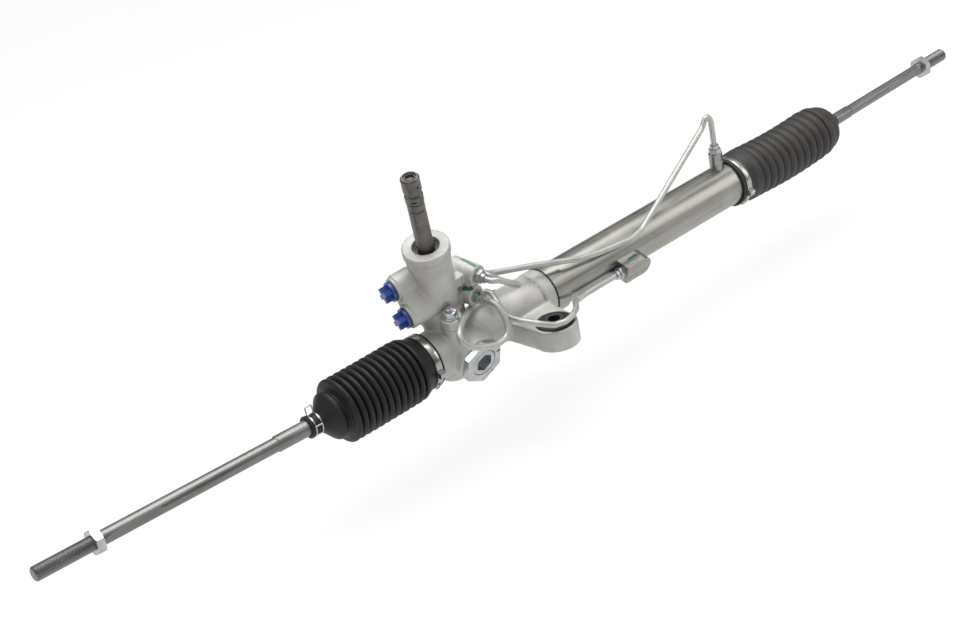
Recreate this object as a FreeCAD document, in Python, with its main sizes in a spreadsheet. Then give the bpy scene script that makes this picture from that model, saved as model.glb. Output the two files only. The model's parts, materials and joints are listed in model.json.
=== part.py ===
import FreeCAD, Part
import math
import os
from types import SimpleNamespace

import Sketcher
from FreeCAD import Placement, Rotation, Vector

# Driving dimensions in millimetres and degrees.
# The origin is the foot of the front mounting bore, +X runs along the rack and +Z along the bore.
driving_sizes = {
    # rack line, pinion tower and yoke
    "rack_axis_y": 60,
    "rack_axis_z": 24,
    "gear_roll": 12.5,
    "pinion_lean": 9.25,
    "yoke_drop": 5,
    "pinion_x": -75,
    # travel of the rack to each side of centre, and where the photograph caught it
    "travel_half": 73,
    "rest_shift": 24,
    "stop_gap": 0.5,
    # clearances
    "running_gap": 0.05,
    "soft_gap": 0.3,
    # toothed bar and pinion
    "bar_diameter": 25,
    "tooth_module": 2,
    "pinion_teeth": 7,
    "pressure_angle": 20,
    "profile_shift": 0.6,
    "tip_height": 8.6,
    "tooth_backlash": 0.16,
    "mesh_length": 32,
    "tooth_root_gap": 0.5,
    # rack housing
    "barrel_left": -138.5,
    "nose_length": 14,
    "nose_diameter": 43,
    "barrel_diameter": 49.4,
    "barrel_bore": 30,
    "barrel_right": 39,
    "tube_socket_depth": 27,
    "pinion_boss_diameter": 40,
    "pinion_boss_top": 36,
    "pinion_boss_foot": 44,
    "pinion_chamber": 23.4,
    "foot_flange_diameter": 47,
    "flange_thickness": 8,
    "bolt_circle": 54.4,
    "bolt_turn": 16,
    "bolt_seat": 10.5,
    "bolt_boss_diameter": 20.5,
    "bolt_boss_length": 24,
    "yoke_boss_diameter": 47,
    "yoke_boss_face": 33,
    # mounting ears and bushes
    "ear_diameter": 45,
    "ear_foot": 4,
    "ear_thickness": 22,
    "ear_web_half": 26,
    "rear_ear_x": 20,
    "rear_ear_y": 110,
    "rear_ear_drop": 14,
    "bush_diameter": 36,
    "bush_shell_wall": 1.5,
    "bush_length": 25,
    "bush_sleeve_diameter": 18.5,
    "bush_sleeve_length": 30,
    "mounting_bore": 12.3,
    # cylinder tube
    "tube_diameter": 47,
    "tube_wall": 3,
    "collar_length": 17,
    "collar_wall": 2,
    "chamber_left": 134,
    "chamber_margin": 6,
    "bulkhead_length": 16,
    "seal_width": 5,
    "seal_depth": 4,
    "end_plug_length": 20,
    "end_cap_nose": 13,
    "end_cap_nose_diameter": 38,
    "piston_width": 14,
    "piston_ring_width": 4,
    "piston_ring_depth": 2.4,
    # oil connections on the tube
    "left_port_x": 122,
    "left_port_angle": 19,
    "port_block_length": 34,
    "port_block_width": 20,
    "port_block_reach": 38,
    "left_pipe_radius": 30,
    "right_port_x": 303,
    "right_boss_diameter": 15,
    "right_boss_height": 41,
    "port_drill": 4,
    # valve housing
    "tower_top": 117,
    "tower_diameter": 42,
    "lip_diameter": 46,
    "lip_height": 18,
    "valve_bore": 31,
    "valve_bore_top": 97,
    "mouth_bore": 26.2,
    "inlet_skew": 8,
    "inlet_offset": 8,
    "inlet_middle": 68.2,
    "inlet_stagger": 23.3,
    "inlet_reach": 39.5,
    "inlet_boss_diameter": 25,
    "inlet_collar_diameter": 28,
    "inlet_bore": 15,
    "inlet_bore_depth": 16,
    "outlet_turn": 10,
    "upper_outlet_x": 34,
    "upper_outlet_z": 66.8,
    "lower_outlet_x": 27.4,
    "lower_outlet_z": 45.7,
    "outlet_front": 24,
    "outlet_length": 31,
    "outlet_boss_diameter": 21,
    "outlet_web_setback": 4,
    # pinion, valve and input shaft
    "pinion_face": 30,
    "pinion_journal": 12,
    "pinion_shoulder": 18,
    "lower_bearing_diameter": 24,
    "lower_bearing_width": 10,
    "upper_bearing_diameter": 34,
    "upper_bearing_width": 12,
    "upper_bearing_bore": 17,
    "upper_bearing_relief": 0.4,
    "pinion_head_diameter": 22,
    "pinion_head_length": 14,
    "sleeve_length": 46,
    "sleeve_ring_width": 2,
    "sleeve_ring_depth": 1.5,
    "shaft_diameter": 16.6,
    "valve_shaft_diameter": 17.8,
    "shaft_head_top": 199,
    "shaft_head_length": 16,
    "shaft_head_diameter": 18,
    "shaft_ring_length": 8,
    "shaft_ring_diameter": 17.6,
    "shaft_waist_diameter": 15,
    "shaft_waist_length": 4,
    "torsion_bar_diameter": 6,
    "torsion_bar_end": 7,
    "pin_diameter": 3,
    "shaft_bearing_width": 8,
    "shaft_seal_width": 6,
    "circlip_width": 1.5,
    "pinion_nut_flats": 17,
    "pinion_nut_height": 7,
    "cap_diameter": 30,
    "cap_length": 6,
    # rack yoke
    "yoke_diameter": 28,
    "yoke_length": 24,
    "yoke_gap": 1.3,
    "yoke_plug_face": 39.5,
    "yoke_socket_flats": 17,
    "yoke_socket_depth": 8,
    "lock_nut_flats": 41,
    "lock_nut_height": 6.5,
    "spring_diameter": 11,
    "spring_wire": 2.6,
    "spring_turns": 4,
    "spring_seat": 8,
    # ball joints and tie rods
    "socket_length": 42,
    "socket_diameter": 36,
    "ball_centre": 31,
    "ball_diameter": 26,
    "seat_wall": 1.4,
    "rod_neck": 12.4,
    "swing_angle": 22.5,
    "stud_diameter": 16,
    "stud_length": 20,
    "left_shank_diameter": 15.6,
    "left_shank_length": 73,
    "right_shank_diameter": 13.6,
    "right_shank_length": 51,
    "left_rod_diameter": 13.7,
    "right_rod_diameter": 12.4,
    "rod_flats": 12.6,
    "flats_length": 56,
    "thread_diameter": 14,
    "thread_pitch_diameter": 13.03,
    "left_rod_length": 324,
    "left_thread_shown": 56.4,
    "left_rod_rise": 2.3,
    "right_rod_length": 226.5,
    "right_thread_shown": 36.5,
    "right_rod_rise": 1,
    "rod_flats_gap": 6,
    "jam_nut_flats": 22,
    "jam_nut_height": 8,
    # bellows and their clamps
    "left_bellows_edge": -114,
    "left_bellows_seat": 10,
    "left_bellows_shoulder": 16,
    "left_bellows_fold": 84,
    "left_bellows_folds": 10,
    "left_neck_start": 26,
    "left_neck_length": 13,
    "left_bellows_diameter": 65,
    "right_bellows_setback": 12,
    "right_bellows_seat": 14,
    "right_bellows_shoulder": 6,
    "right_bellows_fold": 132,
    "right_bellows_folds": 12,
    "right_neck_start": 18,
    "right_neck_length": 6.5,
    "right_bellows_diameter": 58.6,
    "bellows_depth": 7,
    "bellows_wall": 2.3,
    "neck_wall": 1.8,
    "band_width": 7,
    "band_thickness": 0.9,
    "band_ear_height": 5,
    "clip_width": 4.4,
    # oil pipes
    "pipe_diameter": 6,
    "pipe_nut_flats": 12,
    "pipe_nut_length": 9,
    "pipe_seat_depth": 8,
    "pipe_bend": 13,
    # transport plugs in the two hose ports
    "plug_disc_diameter": 20.4,
    "plug_disc_thickness": 2.6,
    "plug_seal_thickness": 1.2,
    "plug_prong_length": 8,
    "plug_prong_width": 5,
}

doc = FreeCAD.newDocument("SteeringRack")
sheet = doc.addObject("Spreadsheet::Sheet", "Sizes")
for row, (alias, number) in enumerate(driving_sizes.items(), start=1):
    sheet.set(f"A{row}", alias.replace("_", " "))
    sheet.set(f"B{row}", str(number))
    sheet.setAlias(f"B{row}", alias)
doc.recompute()


class Measure:
    """A number that remembers the sheet formula it came from."""

    def __init__(self, value, text=None):
        self.value = float(value)
        self.text = text

    def joined(self, other, sign, value):
        other = measure(other)
        if self.text is None and other.text is None:
            return Measure(value)
        left = self.text or repr(self.value)
        right = other.text or repr(other.value)
        return Measure(value, f"({left} {sign} {right})")

    def __float__(self):
        return self.value

    def __add__(self, other):
        return self.joined(other, "+", self.value + float(other))

    def __radd__(self, other):
        return measure(other) + self

    def __sub__(self, other):
        return self.joined(other, "-", self.value - float(other))

    def __rsub__(self, other):
        return measure(other) - self

    def __mul__(self, other):
        return self.joined(other, "*", self.value * float(other))

    def __rmul__(self, other):
        return measure(other) * self

    def __truediv__(self, other):
        return self.joined(other, "/", self.value / float(other))

    def __neg__(self):
        return 0 - self


def measure(number):
    return number if isinstance(number, Measure) else Measure(number)


def bind(thing, field, number):
    number = measure(number)
    if number.text is None:
        setattr(thing, field, number.value)
    else:
        thing.setExpression(field, number.text)


s = SimpleNamespace(**{name: Measure(sheet.get(name), "Sizes." + name) for name in driving_sizes})
pieces = {}

x_axis = Vector(1, 0, 0)
y_axis = Vector(0, 1, 0)
z_axis = Vector(0, 0, 1)
still = Rotation()
to_right = Rotation(y_axis, 90)
to_left = Rotation(y_axis, -90)


def at(x=0, y=0, z=0, turn=still):
    return Placement(Vector(float(x), float(y), float(z)), turn)


def keep(name, thing):
    thing.Label = name
    pieces[name] = thing
    return thing


# Shape helpers

def cylinder(radius, height, place=at()):
    thing = doc.addObject("Part::Cylinder", "Cylinder")
    bind(thing, "Radius", radius)
    bind(thing, "Height", height)
    thing.Placement = place
    return thing


def cone(radius_1, radius_2, height, place=at()):
    thing = doc.addObject("Part::Cone", "Cone")
    bind(thing, "Radius1", radius_1)
    bind(thing, "Radius2", radius_2)
    bind(thing, "Height", height)
    thing.Placement = place
    return thing


def box(length, width, height, place=at()):
    """A box centred on its place in x and y, rising from it in z."""
    thing = doc.addObject("Part::Box", "Box")
    bind(thing, "Length", length)
    bind(thing, "Width", width)
    bind(thing, "Height", height)
    thing.Placement = place * at(-float(length) / 2, -float(width) / 2, 0)
    return thing


def hexagon(flats, height, place=at()):
    thing = doc.addObject("Part::Prism", "Prism")
    thing.Polygon = 6
    bind(thing, "Circumradius", measure(flats) / math.sqrt(3))
    bind(thing, "Height", height)
    thing.Placement = place
    return thing


def ball(radius, place=at()):
    thing = doc.addObject("Part::Sphere", "Sphere")
    bind(thing, "Radius", radius)
    thing.Placement = place
    return thing


def fuse(things, place=at()):
    thing = doc.addObject("Part::MultiFuse", "Fusion")
    thing.Refine = False
    thing.Shapes = things
    thing.Placement = place
    return thing


def cut(base, tools, place=at()):
    thing = doc.addObject("Part::Cut", "Cut")
    thing.Refine = False
    thing.Base = base
    thing.Tool = tools[0] if len(tools) == 1 else fuse(tools)
    thing.Placement = place
    return thing


def common(things, place=at()):
    thing = doc.addObject("Part::MultiCommon", "Common")
    thing.Refine = False
    thing.Shapes = things
    thing.Placement = place
    return thing


def solid(shape, place=at()):
    thing = doc.addObject("Part::Feature", "Solid")
    thing.Shape = shape
    thing.Placement = place
    return thing


def origin_plane(body, role):
    return next(plane for plane in body.Origin.OriginFeatures if plane.Role == role)


def draw(body, role, outline):
    """A closed sketch of straight lines whose corners are bound to the sizes."""
    sketch = body.newObject("Sketcher::SketchObject", "Outline")
    sketch.AttachmentSupport = [(origin_plane(body, role), "")]
    sketch.MapMode = "FlatFace"
    corners = [(measure(x), measure(y)) for x, y in outline]
    for number, (x, y) in enumerate(corners):
        ahead = corners[(number + 1) % len(corners)]
        start = Vector(x.value, y.value, 0)
        end = Vector(ahead[0].value, ahead[1].value, 0)
        sketch.addGeometry(Part.LineSegment(start, end))
    for number, corner in enumerate(corners):
        sketch.addConstraint(Sketcher.Constraint("Coincident", number - 1 if number else len(corners) - 1,
                                                 2, number, 1))
        for kind, own_axis, value in (("DistanceX", -2, corner[0]), ("DistanceY", -1, corner[1])):
            if value.value == 0:
                sketch.addConstraint(Sketcher.Constraint("PointOnObject", number, 1, own_axis))
                continue
            place = sketch.addConstraint(Sketcher.Constraint(kind, -1, 1, number, 1, value.value))
            if value.text is not None:
                sketch.setExpression(f"Constraints[{place}]", value.text)
    return sketch


def turned(outline, place=at()):
    """A piece turned about its own z axis from corners of (radius, height)."""
    body = doc.addObject("PartDesign::Body", "Turned")
    sketch = draw(body, "XZ_Plane", outline)
    turning = body.newObject("PartDesign::Revolution", "Turning")
    turning.Profile = sketch
    turning.ReferenceAxis = (sketch, ["V_Axis"])
    turning.Angle = 360
    body.Placement = place
    return body


def ring(outer, inner, foot, height, place=at()):
    outer, inner, foot, top = measure(outer), measure(inner), measure(foot), measure(foot) + height
    return turned([(inner, foot), (outer, foot), (outer, top), (inner, top)], place)


def chamfered_hexagon(flats, height, bore, place=at()):
    """A hexagon nut with both faces chamfered towards its corners."""
    corner = measure(flats) / math.sqrt(3)
    slope = measure(height) * 0.12
    limits = turned([(0, 0), (corner - slope, 0), (corner, slope), (corner, height - slope),
                     (corner - slope, height), (0, height)])
    blank = common([hexagon(flats, height), limits])
    return cut(blank, [cylinder(bore, measure(height) + 2, at(0, 0, -1))], place)


def bent_tube(points, bend, radius):
    """A round bar along straight runs joined by tangent arcs."""
    edges = []
    start = points[0]
    for before, corner, after in zip(points, points[1:], points[2:]):
        back = (before - corner).normalize()
        ahead = (after - corner).normalize()
        half_turn = (math.pi - back.getAngle(ahead)) / 2
        room = 0.47 * min((before - corner).Length, (after - corner).Length)
        reach = min(bend * math.tan(half_turn), room)
        bend_start = corner + back * reach
        bend_end = corner + ahead * reach
        bisector = (back + ahead).normalize()
        depth = reach / math.tan(half_turn) * (1 / math.cos(half_turn) - 1)
        edges.append(Part.LineSegment(start, bend_start).toShape())
        edges.append(Part.Arc(bend_start, corner + bisector * depth, bend_end).toShape())
        start = bend_end
    edges.append(Part.LineSegment(start, points[-1]).toShape())
    path = Part.Wire(edges)
    profile = Part.Wire([Part.Circle(points[0], points[1] - points[0], radius).toShape()])
    return path.makePipeShell([profile], True, False), path.Length


# Frames: the rack line, the rolled gear plane, the leaning pinion and the yoke

tooth_pitch = s.tooth_module * math.pi
pitch_radius = s.tooth_module * s.pinion_teeth / (2 * math.cos(math.radians(float(s.pinion_lean))))
tip_to_pinion = pitch_radius + s.tooth_module * s.profile_shift - s.tooth_module
pinion_offset = s.tip_height + tip_to_pinion
rack_line = at(0, s.rack_axis_y, s.rack_axis_z)
rack_frame = rack_line * at(0, 0, 0, Rotation(x_axis, float(s.gear_roll)))
pinion_frame = rack_frame * at(s.pinion_x, pinion_offset, 0, Rotation(y_axis, -float(s.pinion_lean)))
yoke_turn = Rotation(x_axis, float(s.gear_roll + s.yoke_drop) + 90)
yoke_frame = rack_line * at(s.pinion_x, 0, 0, yoke_turn)


def along_rack(x, turn=to_right):
    return rack_line * at(x, 0, 0, turn)


bar_radius = s.bar_diameter / 2
tube_radius = s.tube_diameter / 2
tube_bore_radius = tube_radius - s.tube_wall
barrel_radius = s.barrel_diameter / 2
left_face = s.barrel_left - s.travel_half + s.rest_shift - s.stop_gap
chamber_right = s.chamber_left + s.travel_half * 2 + s.piston_width + s.chamber_margin * 2
tube_right = chamber_right + s.end_plug_length
end_cap_right = tube_right + s.end_cap_nose
right_face = end_cap_right + s.travel_half + s.rest_shift + s.stop_gap
piston_x = (s.chamber_left + chamber_right) / 2 + s.rest_shift


# Rack housing: one casting with the barrel, the pinion boss, the yoke boss and two ears

def ear_blank(x, y, foot, reach_sign):
    """A round ear whose web runs tangentially into the barrel."""
    radius = s.ear_diameter / 2
    edge = float(s.rack_axis_y)
    half = float(s.ear_web_half)
    shoulder = float(y) + reach_sign * 6
    side = min(float(x) + half, float(s.barrel_right) - 0.8)
    outline = [Vector(float(x) - half, edge, 0), Vector(float(x) - float(radius), shoulder, 0),
               Vector(float(x) + float(radius), shoulder, 0), Vector(side, edge - reach_sign * 28, 0),
               Vector(side, edge, 0)]
    web = Part.Face(Part.makePolygon(outline + outline[:1])).extrude(Vector(0, 0, float(s.ear_thickness)))
    return fuse([cylinder(radius, s.ear_thickness, at(x, y, foot)), solid(web, at(0, 0, foot))])


def bolt_places(height):
    """The two valve housing bolts, opposite each other in the pinion frame."""
    places = []
    for angle in (270 - float(s.bolt_turn), 90 - float(s.bolt_turn)):
        reach = float(s.bolt_circle) / 2
        places.append(at(reach * math.cos(math.radians(angle)), reach * math.sin(math.radians(angle)),
                         height))
    return places


def rack_housing():
    barrel_length = s.barrel_right - s.barrel_left
    barrel = turned([(0, 0), (s.nose_diameter / 2, 0), (s.nose_diameter / 2, s.nose_length),
                     (barrel_radius, s.nose_length + 2), (barrel_radius, barrel_length - 1),
                     (barrel_radius - 1, barrel_length), (0, barrel_length)], along_rack(s.barrel_left))
    pinion_boss = cylinder(s.pinion_boss_diameter / 2, s.pinion_boss_top + s.pinion_boss_foot,
                           pinion_frame * at(0, 0, -s.pinion_boss_foot))
    flange = cylinder(s.foot_flange_diameter / 2, s.flange_thickness,
                      pinion_frame * at(0, 0, s.pinion_boss_top - s.flange_thickness))
    bolt_bosses = [cylinder(s.bolt_boss_diameter / 2, s.bolt_boss_length, pinion_frame * place)
                   for place in bolt_places(s.pinion_boss_top - s.bolt_boss_length)]
    yoke_boss = turned([(0, 0), (s.yoke_boss_diameter / 2 + 2, 0),
                        (s.yoke_boss_diameter / 2, s.yoke_boss_face - 1),
                        (s.yoke_boss_diameter / 2 - 1, s.yoke_boss_face), (0, s.yoke_boss_face)], yoke_frame)
    front_ear = ear_blank(0, 0, s.ear_foot, 1)
    rear_ear = ear_blank(s.rear_ear_x, s.rear_ear_y, s.ear_foot - s.rear_ear_drop, -1)
    tools = [
        cylinder(s.barrel_bore / 2, barrel_length + 2, along_rack(s.barrel_left - 1)),
        cylinder(tube_radius, s.tube_socket_depth + 1, along_rack(s.barrel_right - s.tube_socket_depth)),
        cylinder(s.pinion_chamber / 2, s.pinion_boss_top + s.pinion_boss_foot,
                 pinion_frame * at(0, 0, -s.lower_bearing_width - s.pinion_face / 2 - 2)),
        cylinder(s.lower_bearing_diameter / 2, s.lower_bearing_width + 2,
                 pinion_frame * at(0, 0, -s.pinion_face / 2 - s.lower_bearing_width - 2)),
        cylinder(s.cap_diameter / 2, s.pinion_boss_foot - s.pinion_face / 2 - s.lower_bearing_width - 1,
                 pinion_frame * at(0, 0, -s.pinion_boss_foot - 1)),
        cylinder(s.upper_bearing_diameter / 2, s.upper_bearing_width + 1,
                 pinion_frame * at(0, 0, s.pinion_boss_top - s.upper_bearing_width)),
        cylinder(s.yoke_diameter / 2, s.yoke_boss_face + 1, yoke_frame),
        cylinder(s.bush_diameter / 2, s.ear_thickness + 2, at(0, 0, s.ear_foot - 1)),
        cylinder(s.bush_diameter / 2, s.ear_thickness + 2,
                 at(s.rear_ear_x, s.rear_ear_y, s.ear_foot - s.rear_ear_drop - 1)),
    ]
    tools += [cylinder(3.4, 17, pinion_frame * place) for place in bolt_places(s.pinion_boss_top - 16)]
    body = fuse([barrel, pinion_boss, flange, yoke_boss, front_ear, rear_ear] + bolt_bosses)
    keep("rack_housing", cut(body, tools))


# Valve housing: the tower, the staggered hose ports and the two pipe outlets

inlet_turn = Rotation(z_axis, 180 - float(s.inlet_skew))


def inlet_frame(sign):
    """Port axis: local z runs outwards from the tower axis."""
    return (pinion_frame * at(0, 0, 0, inlet_turn)
            * at(0, -sign * s.inlet_offset, s.inlet_middle + sign * s.inlet_stagger / 2, to_right))


def outlet_frame(x, z):
    """Outlet axis: local z runs outwards, its origin on the boss face."""
    turn = Rotation(z_axis, float(s.outlet_turn)) * Rotation(x_axis, 90)
    return pinion_frame * at(x, -s.outlet_front, z, turn)


upper_outlet = outlet_frame(s.upper_outlet_x, s.upper_outlet_z)
lower_outlet = outlet_frame(s.lower_outlet_x, s.lower_outlet_z)


def valve_housing():
    foot = s.pinion_boss_top
    tower = turned([(0, foot), (s.foot_flange_diameter / 2, foot),
                    (s.foot_flange_diameter / 2, foot + s.flange_thickness - 2),
                    (s.tower_diameter / 2, foot + s.flange_thickness + 1),
                    (s.tower_diameter / 2, s.tower_top - s.lip_height - 1.5),
                    (s.lip_diameter / 2, s.tower_top - s.lip_height), (s.lip_diameter / 2, s.tower_top - 1),
                    (s.lip_diameter / 2 - 1, s.tower_top), (0, s.tower_top)], pinion_frame)
    ears = [cylinder(s.bolt_boss_diameter / 2, s.bolt_seat, pinion_frame * place)
            for place in bolt_places(s.pinion_boss_top)]
    inlets = [cylinder(s.inlet_boss_diameter / 2, s.inlet_reach, inlet_frame(sign)) for sign in (1, -1)]
    inlets.append(cylinder(s.inlet_collar_diameter / 2, s.inlet_reach - 3, inlet_frame(1)))
    span = math.hypot(2 * float(s.inlet_offset), float(s.inlet_stagger))
    tilt = math.degrees(math.atan2(2 * float(s.inlet_offset), float(s.inlet_stagger)))
    bridge = box(span, s.inlet_boss_diameter, s.inlet_reach - 2.5,
                 pinion_frame * at(0, 0, 0, inlet_turn) * at(0, 0, s.inlet_middle, to_right)
                 * at(0, 0, 0, Rotation(z_axis, tilt)))
    outlets = []
    webs = []
    for frame, x in ((upper_outlet, s.upper_outlet_x), (lower_outlet, s.lower_outlet_x)):
        outlets.append(cylinder(s.outlet_boss_diameter / 2, s.outlet_length,
                                frame * at(0, 0, -s.outlet_length)))
        webs.append(box(s.outlet_boss_diameter * 0.55, x, s.outlet_length * 0.7,
                        frame * at(0, 0, -s.outlet_length) * at(0, 0, 0, Rotation(z_axis, 90))
                        * at(0, x / 2, 0)))
    rise = s.upper_outlet_z - s.lower_outlet_z
    step = s.upper_outlet_x - s.lower_outlet_x
    lean = math.degrees(math.atan2(float(step), float(rise)))
    webs.append(box(s.outlet_boss_diameter * 0.62, rise + 2, s.outlet_length - s.outlet_web_setback,
                    lower_outlet * at(step / 2, rise / 2, -s.outlet_length, Rotation(z_axis, -lean))))
    tools = [
        cylinder(s.valve_bore / 2, s.valve_bore_top - foot + 1, pinion_frame * at(0, 0, foot - 1)),
        cylinder(s.mouth_bore / 2, s.tower_top - s.valve_bore_top + 2,
                 pinion_frame * at(0, 0, s.valve_bore_top - 1)),
    ]
    tools += [cylinder(s.inlet_bore / 2, s.inlet_bore_depth + 1,
                       inlet_frame(sign) * at(0, 0, s.inlet_reach - s.inlet_bore_depth))
              for sign in (1, -1)]
    tools += [cylinder(s.port_drill / 2, s.inlet_reach - 8, inlet_frame(sign) * at(0, 0, 8))
              for sign in (1, -1)]
    for frame in (upper_outlet, lower_outlet):
        tools.append(cylinder(s.pipe_nut_flats / 2 - 0.6, s.pipe_seat_depth + 1,
                              frame * at(0, 0, -s.pipe_seat_depth)))
        tools.append(cylinder(s.port_drill / 2, s.outlet_length * 0.6,
                              frame * at(0, 0, -s.outlet_length * 0.6)))
    tools += [cylinder(4.3, s.bolt_seat + 2, pinion_frame * place)
              for place in bolt_places(s.pinion_boss_top - 1)]
    tools += [cylinder(7.7, 13, pinion_frame * place)
              for place in bolt_places(s.pinion_boss_top + s.bolt_seat)]
    tools.append(cylinder(48, 14, pinion_frame * at(0, 0, foot - 14)))
    body = fuse([tower, bridge] + ears + inlets + outlets + webs)
    keep("valve_housing", cut(body, tools))


def valve_housing_bolts():
    bolts = []
    for place in bolt_places(s.pinion_boss_top + s.bolt_seat):
        bolts.append(turned([(0, 1 - s.bolt_seat - 12), (3.3, 1 - s.bolt_seat - 12), (3.3, 0), (7.3, 0),
                             (7.3, 1.6),
                             (5.6, 2.4), (5.6, 8.2), (4.2, 10.4), (0, 11.2)], pinion_frame * place))
        bolts.append(hexagon(12, 6.4, pinion_frame * place * at(0, 0, 1.6)))
    keep("valve_housing_bolts", fuse(bolts))


# Mounting bushes

def mounting_bush(prefix, x, y, drop):
    middle = s.ear_foot + s.ear_thickness / 2 - s.bush_length / 2
    place = at(x, y, -drop)
    shell_inner = s.bush_diameter / 2 - s.bush_shell_wall
    sleeve = s.bush_sleeve_diameter / 2
    keep(prefix + "_bush_shell", ring(s.bush_diameter / 2, shell_inner, middle, s.bush_length, place))
    groove = 2.2
    top = middle + s.bush_length
    keep(prefix + "_bush_rubber", turned([(sleeve, middle), (shell_inner - groove, middle + groove),
                                          (shell_inner, middle),
                                          (shell_inner, top), (shell_inner - groove, top - groove),
                                          (sleeve, top)], place))
    keep(prefix + "_bush_sleeve", ring(sleeve, s.mounting_bore / 2, 0, s.bush_sleeve_length, place))


# Cylinder tube and what is inside it

def left_port_frame():
    """Radial frame of the brazed block: z outwards from the rack line, x along it."""
    return along_rack(s.left_port_x, still) * at(0, 0, 0, Rotation(x_axis, 90 + float(s.left_port_angle)))


def cylinder_tube():
    length = tube_right - s.barrel_right + s.tube_socket_depth
    start = s.barrel_right - s.tube_socket_depth
    frame = left_port_frame()
    half = s.port_block_width / 2
    block_length = s.port_block_length - half
    foot = tube_radius - 4
    height = s.port_block_reach - foot
    parts = [
        cylinder(tube_radius, length, along_rack(start)),
        box(block_length, s.port_block_width, height, frame * at(block_length / 2, 0, foot)),
        cylinder(half, height, frame * at(block_length, 0, foot)),
        cylinder(s.right_boss_diameter / 2, s.right_boss_height, rack_line * at(s.right_port_x, 0, 0)),
    ]
    nut_hole = s.pipe_nut_flats / 2 - 0.6
    tools = [
        cylinder(tube_bore_radius, length + 2, along_rack(start - 1)),
        cylinder(nut_hole, s.pipe_seat_depth + 1, frame * at(-1, 0, s.left_pipe_radius, to_right)),
        cylinder(s.port_drill / 2, s.pipe_seat_depth + 7, frame * at(0, 0, s.left_pipe_radius, to_right)),
        cylinder(s.port_drill / 2, s.left_pipe_radius - 2, frame * at(s.pipe_seat_depth + 7, 0, 2)),
        cylinder(nut_hole, s.pipe_seat_depth + 1,
                 rack_line * at(s.right_port_x, 0, s.right_boss_height - s.pipe_seat_depth)),
        cylinder(s.port_drill / 2, s.right_boss_height, rack_line * at(s.right_port_x, 0, 2)),
    ]
    keep("cylinder_tube", cut(fuse(parts), tools))


def tube_inside():
    keep("tube_collar", turned([(tube_radius, 0), (tube_radius + s.collar_wall, 0),
                                (tube_radius + s.collar_wall, s.collar_length - 1),
                                (tube_radius + s.collar_wall - 1, s.collar_length),
                                (tube_radius, s.collar_length)],
                               along_rack(s.barrel_right)))
    bore = bar_radius + s.running_gap
    seal_top = bore + s.seal_depth
    start = s.chamber_left - s.bulkhead_length
    width = s.bulkhead_length
    keep("inner_bulkhead", turned([(bore, 0), (tube_bore_radius, 0), (tube_bore_radius, width),
                                   (seal_top, width),
                                   (seal_top, width - s.seal_width), (bore, width - s.seal_width)],
                                  along_rack(start)))
    keep("bulkhead_seal", ring(seal_top, bore, width - s.seal_width, s.seal_width, along_rack(start)))
    cap_length = end_cap_right - chamber_right
    plug_length = s.end_plug_length
    nose = s.end_cap_nose_diameter / 2
    keep("cylinder_end_cap", turned([(seal_top, 0), (tube_bore_radius, 0), (tube_bore_radius, plug_length),
                                     (nose, plug_length),
                                     (nose, cap_length), (bore, cap_length), (bore, s.seal_width),
                                     (seal_top, s.seal_width)],
                                    along_rack(chamber_right)))
    keep("end_cap_seal", ring(seal_top, bore, 0, s.seal_width, along_rack(chamber_right)))


def piston_parts():
    outer = tube_bore_radius - 0.25
    groove = outer - s.piston_ring_depth
    half = s.piston_width / 2
    slot = s.piston_ring_width / 2
    place = along_rack(piston_x)
    keep("piston", turned([(bar_radius, -half), (outer - 1, -half), (outer, 1 - half), (outer, -slot),
                           (groove, -slot),
                           (groove, slot), (outer, slot), (outer, half - 1), (outer - 1, half),
                           (bar_radius, half)], place))
    keep("piston_ring", ring(tube_bore_radius - s.running_gap, groove, -slot, s.piston_ring_width, place))


# Toothed rack bar

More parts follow.
